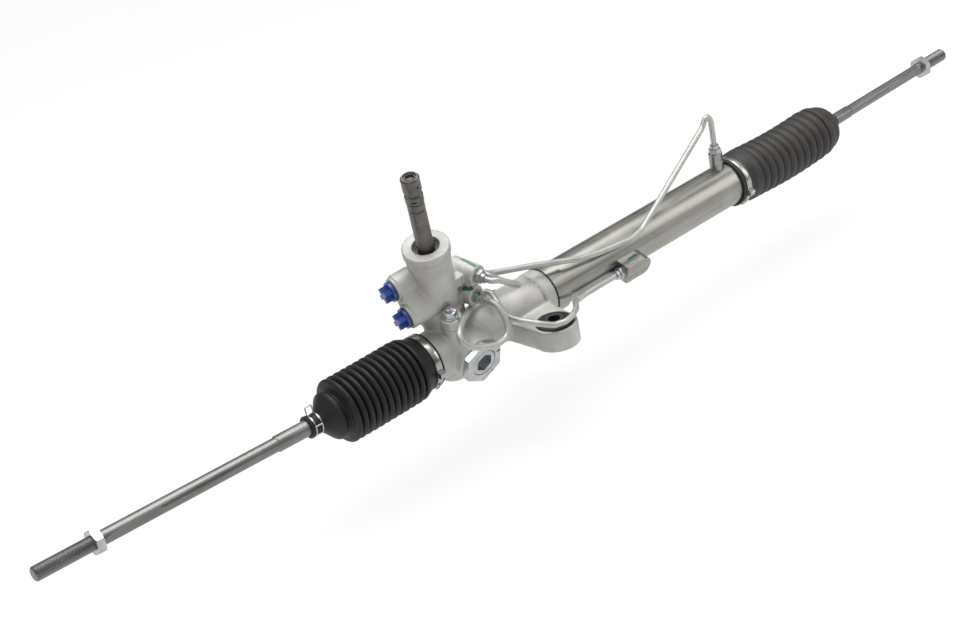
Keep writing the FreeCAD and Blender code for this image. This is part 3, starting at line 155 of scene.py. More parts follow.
def meshFrom(name, work):
    mesh = bpy.data.meshes.new(name)
    work.to_mesh(mesh)
    work.free()
    return mesh


# Turns an outline of (distance along, radius) points about the x axis of a frame; no radius means a pole
def turnedMesh(name, outline, frameMatrix, sides=96):
    work = bmesh.new()
    circle = [(math.cos(2 * math.pi * k / sides), math.sin(2 * math.pi * k / sides)) for k in range(sides)]
    rings = []
    for along, radius in outline:
        if radius < 1e-6:
            rings.append([work.verts.new(frameMatrix @ Vector((along * mm, 0, 0)))] * sides)
            continue
        rings.append([work.verts.new(frameMatrix @ Vector((along * mm, radius * mm * y, radius * mm * z)))
                      for y, z in circle])
    for near, far in zip(rings, rings[1:]):
        for k in range(sides):
            corners = []
            for vert in (near[k], near[(k + 1) % sides], far[(k + 1) % sides], far[k]):
                if vert not in corners:
                    corners.append(vert)
            if len(corners) > 2:
                work.faces.new(corners)
    bmesh.ops.recalc_face_normals(work, faces=work.faces)
    return meshFrom(name, work)


def turnedPiece(name, outline, frameMatrix, slotName, sides=96, sharp=35):
    obj = meshObject(name, turnedMesh(name, outline, frameMatrix, sides), finishes[slotName])
    shaded(obj, sharp)
    return obj


# A flat strip bent along a path of (x, y, z) points; across is the direction of its width
def stripMesh(name, path, across, width, thickness, frameMatrix):
    work = bmesh.new()
    points = [Vector(p) for p in path]
    across = Vector(across).normalized()
    rings = []
    for k, point in enumerate(points):
        tangent = (points[min(k + 1, len(points) - 1)] - points[max(k - 1, 0)]).normalized()
        out = across.cross(tangent).normalized()
        ring = []
        for side, level in ((-1, 0), (1, 0), (1, 1), (-1, 1)):
            corner = point + across * side * width / 2 + out * level * thickness
            ring.append(work.verts.new(frameMatrix @ (corner * mm)))
        rings.append(ring)
    for near, far in zip(rings, rings[1:]):
        for k in range(4):
            work.faces.new((near[k], near[(k + 1) % 4], far[(k + 1) % 4], far[k]))
    work.faces.new(rings[0])
    work.faces.new(list(reversed(rings[-1])))
    bmesh.ops.recalc_face_normals(work, faces=work.faces)
    return meshFrom(name, work)


# A rod of round wire along a list of points
def wireMesh(name, route, radius, frameMatrix):
    curve = bpy.data.curves.new(name, "CURVE")
    curve.dimensions = "3D"
    curve.bevel_depth = radius * mm
    curve.bevel_resolution = 4
    curve.use_fill_caps = True
    spline = curve.splines.new("POLY")
    spline.points.add(len(route) - 1)
    for k, point in enumerate(route):
        spline.points[k].co = (*(Vector(point) * mm), 1)
    obj = linked(bpy.data.objects.new(name, curve))
    obj.matrix_world = frameMatrix
    return finished(obj)


# Several objects become one, with the materials of the first
def joined(name, objects):
    work = bmesh.new()
    for obj in objects:
        work.from_mesh(obj.data)
    mesh = meshFrom(name, work)
    for material in objects[0].data.materials:
        mesh.materials.append(material)
    for obj in objects:
        data = obj.data
        bpy.data.objects.remove(obj)
        bpy.data.meshes.remove(data)
    return linked(bpy.data.objects.new(name, mesh))


# The camera stands in front, left of the tower and above it, as in the photograph

cameraSet = {
    "place": (-0.97765, -1.22860, 0.85599),
    "forward": (0.52162, 0.71882, -0.45957),
    "right": (0.73698, -0.65101, -0.18176),
    "lens": 69.375,
    "sensor": 36.0,
    "farthest": 50.0,
}


def makeCamera(c):
    data = bpy.data.cameras.new("camera")
    data.lens = c["lens"]
    data.sensor_width = c["sensor"]
    data.sensor_fit = "HORIZONTAL"
    data.clip_end = c["farthest"]
    camera = linked(bpy.data.objects.new("camera", data))
    forward = Vector(c["forward"]).normalized()
    right = Vector(c["right"]).normalized()
    up = right.cross(forward).normalized()
    turn = Matrix((right, up, -forward)).transposed().to_4x4()
    camera.matrix_world = Matrix.Translation(Vector(c["place"])) @ turn
    bpy.context.scene.camera = camera


makeCamera(cameraSet)
bpy.context.scene.view_settings.view_transform = "Standard"


# Small helpers for node trees

def addNode(tree, kind, **settings):
    node = tree.nodes.new(kind)
    for key, value in settings.items():
        setattr(node, key, value)
    return node


# A socket is linked to an input, anything else becomes its value
def setInput(tree, node, name, value):
    if isinstance(value, bpy.types.NodeSocket):
        tree.links.new(value, node.inputs[name])
    else:
        node.inputs[name].default_value = value


def mathNode(tree, operation, *values):
    node = addNode(tree, "ShaderNodeMath", operation=operation)
    for slot, value in enumerate(values):
        setInput(tree, node, slot, value)
    return node.outputs[0]


def mixColor(tree, factor, first, second):
    node = addNode(tree, "ShaderNodeMix", data_type="RGBA")
    for slot, value in ((0, factor), (6, first), (7, second)):
        setInput(tree, node, slot, value)
    return node.outputs[2]


def noise(tree, vector, scale, detail, rough):
    node = addNode(tree, "ShaderNodeTexNoise")
    for name, value in (("Vector", vector), ("Scale", scale), ("Detail", detail), ("Roughness", rough)):
        setInput(tree, node, name, value)
    return node.outputs["Fac"]


def ranged(tree, value, low, high, toLow=0.0, toHigh=1.0):
    node = addNode(tree, "ShaderNodeMapRange")
    for name, number in (("Value", value), ("From Min", low), ("From Max", high), ("To Min", toLow),
                         ("To Max", toHigh)):
        setInput(tree, node, name, number)
    return node.outputs[0]


# A share of the first value and the rest of the second
def weighted(tree, first, second, share):
    return mathNode(tree, "ADD", mathNode(tree, "MULTIPLY", first, share),
                    mathNode(tree, "MULTIPLY", second, 1 - share))


def objectPlace(tree):
    return addNode(tree, "ShaderNodeTexCoord").outputs["Object"]


# Shader groups that several finishes share

colorSocket = "NodeSocketColor"
numberSocket = "NodeSocketFloat"
skinColors = [("Light Color", colorSocket, (0.6, 0.6, 0.6, 1)),
              ("Dark Color", colorSocket, (0.4, 0.4, 0.4, 1))]
skinOutputs = ("Color", "Roughness", "Height")
skinSpread = (0.35, 0.65)  # the part of the noise that is drawn out from dark to light


def groupTree(name, inputs):
    tree = bpy.data.node_groups.new(name, "ShaderNodeTree")
    for label, kind, value in inputs:
        socket = tree.interface.new_socket(label, in_out="INPUT", socket_type=kind)
        socket.default_value = value
    for label in skinOutputs:
        kind = colorSocket if label == "Color" else numberSocket
        tree.interface.new_socket(label, in_out="OUTPUT", socket_type=kind)
    return tree, addNode(tree, "NodeGroupInput").outputs, addNode(tree, "NodeGroupOutput").inputs


# Cast or moulded skin: broad cloudiness, fine grain and a height for the bump
def makeGrainGroup():
    tree, given, made = groupTree("castSkin", skinColors + [
        ("Cloud Scale", numberSocket, 30.0), ("Grain Scale", numberSocket, 900.0),
        ("Rough Low", numberSocket, 0.4), ("Rough High", numberSocket, 0.6)])
    place = objectPlace(tree)
    cloud = noise(tree, place, given["Cloud Scale"], 5, 0.6)
    fine = noise(tree, place, given["Grain Scale"], 2, 0.6)
    spread = ranged(tree, weighted(tree, cloud, fine, 0.75), *skinSpread)
    tree.links.new(mixColor(tree, spread, given["Dark Color"], given["Light Color"]), made["Color"])
    rough = ranged(tree, cloud, 0.0, 1.0, given["Rough Low"], given["Rough High"])
    tree.links.new(rough, made["Roughness"])
    tree.links.new(weighted(tree, cloud, fine, 0.5), made["Height"])
    return tree


# Drawn or ground metal: streaks along one direction, with a roughness that follows them
def makeStreakGroup():
    tree, given, made = groupTree("drawnStreaks", skinColors + [
        ("Stretch", "NodeSocketVector", (4.0, 300.0, 300.0)),
        ("Rough Low", numberSocket, 0.2), ("Rough High", numberSocket, 0.4)])
    place = objectPlace(tree)
    stretch = addNode(tree, "ShaderNodeVectorMath", operation="MULTIPLY")
    tree.links.new(place, stretch.inputs[0])
    tree.links.new(given["Stretch"], stretch.inputs[1])
    streak = noise(tree, stretch.outputs[0], 1.0, 4, 0.6)
    cloud = noise(tree, place, 40.0, 3, 0.5)
    spread = ranged(tree, weighted(tree, streak, cloud, 0.7), *skinSpread)
    tree.links.new(mixColor(tree, spread, given["Dark Color"], given["Light Color"]), made["Color"])
    rough = ranged(tree, spread, 0.0, 1.0, given["Rough Low"], given["Rough High"])
    tree.links.new(rough, made["Roughness"])
    tree.links.new(streak, made["Height"])
    return tree


grainGroup = makeGrainGroup()
streakGroup = makeStreakGroup()


# One inside a box of object coordinates with slightly uneven edges, nought outside
def boxMask(tree, low, high):
    place = objectPlace(tree)
    wobble = noise(tree, place, 500.0, 2, 0.5)
    uneven = mathNode(tree, "MULTIPLY", mathNode(tree, "SUBTRACT", wobble, 0.5), 0.0012)
    split = addNode(tree, "ShaderNodeSeparateXYZ")
    tree.links.new(place, split.inputs[0])
    mask = None
    for axis in range(3):
        value = mathNode(tree, "ADD", split.outputs[axis], uneven)
        inside = mathNode(tree, "MULTIPLY", mathNode(tree, "GREATER_THAN", value, low[axis]),
                          mathNode(tree, "LESS_THAN", value, high[axis]))
        mask = inside if mask is None else mathNode(tree, "MULTIPLY", mask, inside)
    return mask


# A material whose colour, roughness and bump come from a shared group; marks are boxes of paint on it
def finish(name, group, values, metallic, bump=0.1, bumpDepth=0.0002, specular=0.5, marks=()):
    material = bpy.data.materials.new(name)
    material.use_nodes = True
    tree = material.node_tree
    shader = tree.nodes["Principled BSDF"]
    skin = addNode(tree, "ShaderNodeGroup", node_tree=group)
    for key, value in values.items():
        skin.inputs[key].default_value = value
    shader.inputs["Metallic"].default_value = metallic
    shader.inputs["Specular IOR Level"].default_value = specular
    color = skin.outputs["Color"]
    painted = None
    for low, high, paint in marks:
        mask = boxMask(tree, low, high)
        color = mixColor(tree, mask, color, paint)
        painted = mask if painted is None else mathNode(tree, "MAXIMUM", painted, mask)
    tree.links.new(color, shader.inputs["Base Color"])
    tree.links.new(skin.outputs["Roughness"], shader.inputs["Roughness"])
    if painted is not None:
        bare = mathNode(tree, "SUBTRACT", 1.0, painted)
        tree.links.new(mathNode(tree, "MULTIPLY", bare, metallic), shader.inputs["Metallic"])
    relief = addNode(tree, "ShaderNodeBump")
    relief.inputs["Strength"].default_value = bump
    relief.inputs["Distance"].default_value = bumpDepth
    tree.links.new(skin.outputs["Height"], relief.inputs["Height"])
    tree.links.new(relief.outputs["Normal"], shader.inputs["Normal"])
    return material


def grain(light, dark, cloud=30.0, fine=900.0, rough=(0.4, 0.6)):
    return {"Light Color": (*light, 1), "Dark Color": (*dark, 1), "Cloud Scale": cloud, "Grain Scale": fine,
            "Rough Low": rough[0], "Rough High": rough[1]}


def streaks(light, dark, stretch=(4.0, 300.0, 300.0), rough=(0.2, 0.4)):
    return {"Light Color": (*light, 1), "Dark Color": (*dark, 1), "Stretch": stretch,
            "Rough Low": rough[0], "Rough High": rough[1]}


# Strokes of green paint on the castings, the nuts and the tube, as boxes in metres. The paint is real, but
# it comes in two copies: the lighter green carries painted light on the top faces of the lobe and the
# flange, and the darker green carries painted shade on the lobe's side, the nuts and the tube
greenPaintLit = (0.07, 0.22, 0.13, 1)
greenPaintShaded = (0.012, 0.11, 0.06, 1)
castMarks = (
    ((-0.0550, 0.0345, 0.100), (-0.0512, 0.0545, 0.108), greenPaintLit),
    ((-0.0665, 0.0370, 0.0790), (-0.0580, 0.0480, 0.0825), greenPaintShaded),
    ((-0.0895, 0.0290, 0.0610), (-0.0858, 0.0350, 0.0660), greenPaintLit),
)
nutMarks = (
    ((-0.0590, 0.0180, 0.0155), (-0.0540, 0.0240, 0.0180), greenPaintShaded),
    ((-0.0650, 0.0240, -0.0046), (-0.0622, 0.0300, -0.0024), greenPaintShaded),
    ((-0.0572, 0.0320, 0.0735), (-0.0545, 0.0370, 0.0770), greenPaintShaded),
)
tubeMarks = (
    ((0.1320, 0.0290, 0.0230), (0.1440, 0.0318, 0.0262), greenPaintShaded),
    ((0.3030, 0.0510, 0.0560), (0.3062, 0.0545, 0.0645), greenPaintShaded),
)
castGrain = grain((0.53, 0.52, 0.497), (0.37, 0.362, 0.346), 34, 1500, (0.48, 0.66))
machined = streaks((0.60, 0.60, 0.59), (0.48, 0.48, 0.47))
drawn = streaks((0.38, 0.37, 0.342), (0.235, 0.23, 0.211), (3.0, 260.0, 260.0), (0.24, 0.4))
zinc = grain((0.52, 0.53, 0.54), (0.36, 0.375, 0.39), 120, 900, (0.24, 0.38))
darkSteel = grain((0.10, 0.10, 0.10), (0.055, 0.055, 0.058), 120, 900, (0.35, 0.5))
machinedSteel = streaks((0.42, 0.42, 0.41), (0.32, 0.32, 0.31))
groundSteel = streaks((0.5, 0.5, 0.5), (0.42, 0.42, 0.42))
shaftSteel = grain((0.175, 0.164, 0.15), (0.088, 0.083, 0.076), 60, 700, (0.3, 0.46))
rodSteel = streaks((0.25, 0.25, 0.24), (0.15, 0.15, 0.145), (6.0, 180.0, 180.0), (0.32, 0.46))
clampSteel = grain((0.46, 0.46, 0.45), (0.32, 0.32, 0.312), 80, 600, (0.2, 0.32))
pipeCoating = grain((0.46, 0.475, 0.44), (0.36, 0.373, 0.345), 60, 700, (0.36, 0.5))
bushRubber = grain((0.014, 0.014, 0.014), (0.008, 0.008, 0.008), 80, 1200, (0.5, 0.7))
leftRubber = grain((0.0095, 0.0095, 0.0088), (0.0056, 0.0056, 0.0052), 50, 900, (0.44, 0.6))
rightRubber = grain((0.043, 0.0395, 0.036), (0.025, 0.0228, 0.021), 50, 900, (0.46, 0.62))
whitePlastic = grain((0.8, 0.79, 0.75), (0.74, 0.73, 0.69))
bluePlastic = grain((0.032, 0.070, 0.30), (0.022, 0.048, 0.22), 120, 900, (0.3, 0.45))
finishes = {
    "cast_aluminium": finish("castAluminium", grainGroup, castGrain, 0.5, bump=0.5, bumpDepth=0.0004,
                             marks=castMarks),
    "machined_aluminium": finish("machinedAluminium", streakGroup, machined, 0.85),
    "drawn_tube": finish("drawnTube", streakGroup, drawn, 0.95, marks=tubeMarks),
    "zinc_steel": finish("brightZinc", grainGroup, zinc, 0.9, marks=nutMarks),
    "dark_steel": finish("darkSteel", grainGroup, darkSteel, 0.9),
    "machined_steel": finish("machinedSteel", streakGroup, machinedSteel, 0.95),
    "ground_steel": finish("groundSteel", streakGroup, groundSteel, 1.0),
    "shaft_steel": finish("shaftSteel", grainGroup, shaftSteel, 0.85),
    "rod_steel": finish("rodSteel", streakGroup, rodSteel, 0.9),
    "clamp_steel": finish("clampSteel", grainGroup, clampSteel, 1.0),
    "pipe_coating": finish("pipeCoating", grainGroup, pipeCoating, 0.6),
    "bush_rubber": finish("bushRubber", grainGroup, bushRubber, 0.0),
    "seal_rubber": finish("sealRubber", grainGroup, bushRubber, 0.0),
    "bellows_rubber_left": finish("bellowsRubberLeft", grainGroup, leftRubber, 0.0, specular=0.35),
    "bellows_rubber_right": finish("bellowsRubberRight", grainGroup, rightRubber, 0.0, specular=0.35),
    "white_plastic": finish("whitePlastic", grainGroup, whitePlastic, 0.0),
    "blue_plastic": finish("bluePlastic", grainGroup, bluePlastic, 0.0),
}
finishOf = {part["node"]: part["material_slot"] for part in frame["record"]["subparts"]}
# Nodes that look otherwise than their slot in the record says; the bearing and circlip in the tower's mouth
# are made near black as painted shade in that recess
finishOf.update({"input_shaft_bearing": "dark_steel", "bearing_circlip": "dark_steel",
                 "yoke_adjusting_plug": "zinc_steel"})
for name, node in nodes.items():
    node.data.materials.clear()
    node.data.materials.append(finishes[finishOf[name]])
print("finishes made:", len(finishes))


# Folded tube: a sheet rolled into a tube whose radius swells between a groove and a crest. With the
# helix switched on, the folds wind round the tube and make a screw thread.

def foldedTubeTree():
    tree = bpy.data.node_groups.new("foldedTube", "GeometryNodeTree")
    for label, kind, value in (("Length", numberSocket, 0.1), ("Crest Radius", numberSocket, 0.03),
                               ("Groove Radius", numberSocket, 0.025), ("Folds", numberSocket, 10.0),
                               ("Roundness", numberSocket, 0.5), ("Helix", numberSocket, 0.0),
                               ("Sag", numberSocket, 0.0), ("Sides", "NodeSocketInt", 96),
                               ("Rings", "NodeSocketInt", 160), ("Finish", "NodeSocketMaterial", None)):
        socket = tree.interface.new_socket(label, in_out="INPUT", socket_type=kind)
        if value is not None:
            socket.default_value = value
    tree.interface.new_socket("Geometry", in_out="OUTPUT", socket_type="NodeSocketGeometry")
    given = addNode(tree, "NodeGroupInput").outputs
    made = addNode(tree, "NodeGroupOutput").inputs
    sheet = addNode(tree, "GeometryNodeMeshGrid")
    sheet.inputs["Size X"].default_value = 1.0
    sheet.inputs["Size Y"].default_value = 1.0
    tree.links.new(mathNode(tree, "ADD", given["Sides"], 1.0), sheet.inputs["Vertices X"])
    tree.links.new(mathNode(tree, "ADD", given["Rings"], 1.0), sheet.inputs["Vertices Y"])
    split = addNode(tree, "ShaderNodeSeparateXYZ")
    tree.links.new(addNode(tree, "GeometryNodeInputPosition").outputs[0], split.inputs[0])
    share = mathNode(tree, "ADD", split.outputs[0], 0.5)
    along = mathNode(tree, "ADD", split.outputs[1], 0.5)
    turn = mathNode(tree, "MULTIPLY", share, 2 * math.pi)
    winding = mathNode(tree, "MULTIPLY", share, given["Helix"])
    phase = mathNode(tree, "MULTIPLY_ADD", along, given["Folds"], winding)
    wave = mathNode(tree, "ABSOLUTE", mathNode(tree, "SINE", mathNode(tree, "MULTIPLY", phase, math.pi)))
    swell = mathNode(tree, "POWER", wave, given["Roundness"])
    depth = mathNode(tree, "SUBTRACT", given["Crest Radius"], given["Groove Radius"])
    radius = mathNode(tree, "MULTIPLY_ADD", swell, depth, given["Groove Radius"])
    hang = mathNode(tree, "MULTIPLY", mathNode(tree, "SINE", mathNode(tree, "MULTIPLY", along, math.pi)),
                    given["Sag"])
    place = addNode(tree, "ShaderNodeCombineXYZ")
    tree.links.new(mathNode(tree, "MULTIPLY", along, given["Length"]), place.inputs[0])
    tree.links.new(mathNode(tree, "MULTIPLY", radius, mathNode(tree, "COSINE", turn)), place.inputs[1])
    height = mathNode(tree, "MULTIPLY", radius, mathNode(tree, "SINE", turn))
    tree.links.new(mathNode(tree, "SUBTRACT", height, hang), place.inputs[2])
    move = addNode(tree, "GeometryNodeSetPosition")
    tree.links.new(sheet.outputs["Mesh"], move.inputs["Geometry"])
    tree.links.new(place.outputs[0], move.inputs["Position"])
    seam = addNode(tree, "GeometryNodeMergeByDistance")
    seam.inputs["Distance"].default_value = 1e-6
    tree.links.new(move.outputs[0], seam.inputs["Geometry"])
    real = addNode(tree, "GeometryNodeRealizeInstances")
    tree.links.new(seam.outputs[0], real.inputs[0])
    paint = addNode(tree, "GeometryNodeSetMaterial")
    tree.links.new(real.outputs[0], paint.inputs["Geometry"])
    tree.links.new(given["Finish"], paint.inputs["Material"])
    tree.links.new(paint.outputs[0], made[0])
    return tree


foldedTube = foldedTubeTree()


def foldedPiece(name, sizes, frameMatrix, slotName):
    obj = linked(bpy.data.objects.new(name, bpy.data.meshes.new(name)))
    obj.matrix_world = frameMatrix
    live = obj.modifiers.new("folds", "NODES")
    live.node_group = foldedTube
    values = {**sizes, "Finish": finishes[slotName]}
    for item in foldedTube.interface.items_tree:
        if item.in_out == "INPUT" and item.name in values:
            live[item.identifier] = values[item.name]
    obj = shaded(finished(obj))
    return obj


# Rack ends: the sizes of one side, along the rack from the edge of the bellows, and along the rod from its
# ball. The stretch is the part of the bellows that follows the travel of the rack; this script reads only
# its start, which decides whether the cuff is attached to the housing.

rackAxis = (60.0, 24.0)
leftEnd = {
    "side": "left", "edge": -114.0, "towards": (-1, 0, 0), "cuffRadius": 27.0, "cuffEnd": 9.5,
    "shoulder": [(11.5, 27.2), (22.5, 31.9), (25.0, 31.6), (26.0, 26.2)],
    "foldStart": 26.0, "foldEnd": 110.0, "folds": 11, "crest": 32.4, "groove": 26.2, "roundness": 0.52,
    "sag": 0.3, "stretch": (26.0, 110.0), "crown": [],
    "bell": [(110.0, 26.2), (112.3, 21.6), (114.2, 22.2), (115.6, 24.2), (118.0, 23.8), (119.5, 22.6)],
    "throat": [(119.5, 22.6), (128.0, 12.6), (130.6, 10.2), (133.0, 9.75)],
    "ball": (-219.0, 60.0, 24.0), "rise": 2.3, "neck": (25.6, 39.0), "neckRadius": 9.7, "bead": 11.0,
    "shank": 7.8, "shankEnd": 73.0, "rod": 6.85, "nut": 259.6, "length": 324.0, "flats": 56.0,
}
rightEnd = {
    "side": "right", "edge": 314.0, "towards": (1, 0, 0), "cuffRadius": 25.8, "cuffEnd": 13.0,
    "shoulder": [(14.4, 26.2), (19.0, 28.7), (27.0, 29.2), (29.0, 28.6), (30.0, 25.2)],
    "foldStart": 30.0, "foldEnd": 140.0, "folds": 10, "crest": 29.2, "groove": 25.2, "roundness": 0.46,
    "sag": 2.2, "stretch": (16.0, 152.2),
    "crown": [(140.0, 25.2), (141.2, 28.2), (147.0, 28.4), (151.0, 26.6), (152.2, 25.6)],
    "bell": [(152.2, 25.6), (154.6, 25.5), (157.0, 25.4)],
    "throat": [(157.0, 25.4), (161.5, 23.4), (166.5, 18.8), (170.2, 12.8), (171.9, 9.2), (173.0, 8.8)],
    "ball": (467.5, 60.0, 24.0), "rise": 1.0, "neck": (18.2, 24.5), "neckRadius": 8.7, "bead": 9.2,
    "shank": 6.8, "shankEnd": 51.0, "rod": 6.2, "nut": 182.0, "length": 226.5, "flats": 56.0,
}
# Both bellows: the cuff with its lip, the bead of the neck, and the rounding of each part's corners
bellowsSet = {
    "wall": 2.2, "mouthDepth": 9.0, "lipHeight": 0.9, "lipFlat": 1.5, "lipEnd": 1.9, "ringsPerFold": 18,
    "beadSlope": 2.6, "beadWidth": 2.2, "neckLining": 3.0, "neckGap": 0.1, "sides": 128,
    "rounding": {"cuff": 1.6, "crown": 1.8, "bell": 1.8, "throat": 3.0, "neck": 0.7},
}


def rackFrame(c):
    return frameAlong((c["edge"], *rackAxis), c["towards"])


def rodFrame(c):
    lift = math.radians(c["rise"])
    return frameAlong(c["ball"], (c["towards"][0] * math.cos(lift), 0, math.sin(lift)))


def makeBellows(c, s):
    side = c["side"]
    rubber = f"bellows_rubber_{side}"
    place = rackFrame(c)

    def turnedPart(part, outline, frameMatrix, sides):
        smooth = roundedOutline(outline, s["rounding"][part])
        return turnedPiece(f"{part}{side.title()}", smooth, frameMatrix, rubber, sides)

    outer = c["cuffRadius"]
    inner = outer - s["wall"]
    lip = outer + s["lipHeight"]
    edge = [(s["mouthDepth"], inner), (0.0, inner), (0.0, lip), (s["lipFlat"], lip), (s["lipEnd"], outer),
            (c["cuffEnd"], outer)]
    cuff = turnedPart("cuff", edge + c["shoulder"], place, s["sides"])
    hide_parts(f"bellows_{side}")
    if c["stretch"][0] < c["foldStart"]:
        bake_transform(cuff)
    else:
        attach(cuff, "housing")
    sizes = {"Length": (c["foldEnd"] - c["foldStart"]) * mm, "Crest Radius": c["crest"] * mm,
             "Groove Radius": c["groove"] * mm, "Folds": float(c["folds"]), "Roundness": c["roundness"],
             "Sag": c["sag"] * mm, "Sides": s["sides"], "Rings": c["folds"] * s["ringsPerFold"]}
    folds = foldedPiece(f"folds{side.title()}", sizes, movedAlong(place, c["foldStart"]), rubber)
    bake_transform(folds)
    if c["crown"]:
        crown = turnedPart("crown", c["crown"], place, s["sides"])
        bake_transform(crown)
    bell = turnedPart("bell", c["bell"], place, s["sides"])
    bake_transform(bell)
    throat = turnedPart("throat", c["throat"], place, 96)
    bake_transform(throat)
    near, far = c["neck"]
    bore = c["shank"] + s["neckGap"]
    sleeve = [(near, c["neckRadius"]), (far - s["beadSlope"], c["neckRadius"]),
              (far - s["beadWidth"], c["bead"]), (far, c["bead"]), (far, bore),
              (far - s["neckLining"], bore)]
    neck = turnedPart("neck", sleeve, rodFrame(c), 64)
    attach(neck, f"clip_{side}")


# Large clamps: band, overlapping end, two hooks and the crimped ear between them

clampSet = {
    "width": 7.0, "thickness": 0.9, "gap": 0.02, "lapAngle": 78.0, "tailAngle": 26.0,
    "earHeight": 4.6, "earWidth": 7.5, "lapNarrower": 0.6, "lapThickness": 0.8,
    # share of half the ear's width, and share of its height
    "ear": [(-0.95, 0.25), (-0.72, 0.62), (-0.70, 0.85), (-0.5, 1.0), (0.0, 0.9), (0.5, 1.0), (0.70, 0.85),
            (0.72, 0.62), (0.95, 0.25)],
    # angles of the hooks before the ear in radians, and the angle and height of each point of a hook
    "hooks": (-0.775, -0.527), "hookWidth": 0.42, "hookThickness": 0.5,
    "hook": [(-0.07, -0.2), (-0.05, 0.7), (0.0, 0.9), (0.06, 0.8), (0.075, -0.2)],
}


# Angle round the rack, from the y axis, of the point of a node that stands out furthest
def farthestAngle(node, c):
    place = rackFrame(c).inverted()
    points = [place @ v.co for v in nodes[node].data.vertices]
    far = max(points, key=lambda p: p.y ** 2 + p.z ** 2)
    return math.atan2(far.z, far.y)


def roundRack(along, path):
    return [(along, radius * math.cos(angle), radius * math.sin(angle)) for radius, angle in path]


def makeLargeClamp(c, s):
    side = c["side"]
    node = f"large_clamp_{side}"
    place = rackFrame(c)
    inner = c["cuffRadius"] + s["gap"]
    outer = inner + s["thickness"]
    middle = (bellowsSet["lipEnd"] + c["cuffEnd"]) / 2
    band = hoopOutline(middle - s["width"] / 2, middle + s["width"] / 2, inner, s["thickness"])
    parts = [turnedPiece("band", roundedOutline(band, 0.25, 2), place, "clamp_steel", 160)]
    earAngle = farthestAngle(node, c)
    way = 1 if side == "left" else -1
    earHalf = s["earWidth"] / 2 / outer
    lapAngle = math.radians(s["lapAngle"])
    tailAngle = math.radians(s["tailAngle"])
    path = [(outer, earAngle - way * (earHalf + lapAngle * (1 - k / 24))) for k in range(25)]
    path += [(outer + s["earHeight"] * lift, earAngle + way * earHalf * share) for share, lift in s["ear"]]
    path += [(outer, earAngle + way * (earHalf + tailAngle * k / 7)) for k in range(8)]
    lapThickness = s["thickness"] * s["lapThickness"]
    lap = stripMesh("lap", roundRack(middle, path), (way, 0, 0), s["width"] - s["lapNarrower"],
                    lapThickness, place)
    parts.append(meshObject("lap", lap))
    for turn in s["hooks"]:
        angle = earAngle + way * turn
        path = [(outer + lapThickness + rise, angle + way * step) for step, rise in s["hook"]]
        hook = stripMesh("hook", roundRack(middle, path), (way, 0, 0), s["width"] * s["hookWidth"],
                         s["hookThickness"], place)
        parts.append(meshObject("hook", hook))
    clamp = shaded(joined(f"clamp{side.title()}", parts), 32)
    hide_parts(node)
    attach(clamp, "housing")


# Small clips: a cage on the left neck, with two hoops, bars between them and a wire bail to open it with,
# and a plain ring on the right neck, with its two crimped ends standing up

cageSet = {
    "back": 0.6, "gap": 0.02, "span": 8.6, "band": 1.3, "bandHeight": 1.0,
    "barAngles": (-150, -95, -40, 15), "barWire": 0.75, "barHeight": 0.55, "barShorter": 0.2,
    "bailWire": 0.65, "bailHeight": 8.8, "bailLean": 8.0, "bailFoot": 0.4, "bailBend": 1.2,
}
ringSet = {
    "back": 0.9, "gap": 0.02, "half": 1.6, "bandHeight": 0.9,
    "endTurns": (-0.16, 0.16), "endHeights": (0.5, 2.2, 4.2), "endWire": 0.85,
}


def clipPlaces(c, s):
    return rodFrame(c), (c["neck"][0] + c["neck"][1]) / 2 - s["back"], c["neckRadius"] + s["gap"]


def finishClip(c, parts):
    side = c["side"]
    clip = shaded(joined(f"clip{side.title()}", parts), 40)
    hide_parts(f"small_clip_{side}")
    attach(clip, f"clip_{side}")


def makeCageClip(c, s):
    place, middle, inner = clipPlaces(c, s)
    parts = []
    for sign in (-1, 1):
        at = middle + sign * (s["span"] - s["band"]) / 2
        hoop = hoopOutline(at - s["band"] / 2, at + s["band"] / 2, inner, s["bandHeight"])
        parts.append(turnedPiece("hoop", hoop, place, "clamp_steel", 72))
    reach = s["span"] / 2 - s["barShorter"]
    for degrees in s["barAngles"]:
        radius, angle = inner + s["barHeight"], math.radians(degrees)
        bar = [(x, radius * math.cos(angle), radius * math.sin(angle))
               for x in (middle - reach, middle + reach)]
        parts.append(wireMesh("bar", bar, s["barWire"], place))
    lean = math.radians(90 + s["bailLean"])
    foot = inner + s["bailFoot"]
    top = inner + s["bailHeight"]
    bend = s["bailBend"]
    half = s["span"] / 2 - s["bailWire"]
    rightHalf = [(half - bend, top), (half - bend * 0.3, top - bend * 0.3), (half, top - bend), (half, foot)]
    route = [(-x, r) for x, r in reversed(rightHalf)] + rightHalf
    bail = [(middle + x, r * math.cos(lean), r * math.sin(lean)) for x, r in route]
    parts.append(wireMesh("bail", bail, s["bailWire"], place))
    finishClip(c, parts)


def makeRingClip(c, s):
    place, middle, inner = clipPlaces(c, s)
    hoop = hoopOutline(middle - s["half"], middle + s["half"], inner, s["bandHeight"])
    parts = [turnedPiece("hoop", roundedOutline(hoop, 0.3, 2), place, "clamp_steel", 72)]
    for turn in s["endTurns"]:
        angle = math.radians(90) + turn
        route = [(middle, (inner + rise) * math.cos(angle), (inner + rise) * math.sin(angle))
                 for rise in s["endHeights"]]
        parts.append(wireMesh("end", route, s["endWire"], place))
    finishClip(c, parts)


# Tie rods: shank, rod with two milled spanner flats and a rolled thread

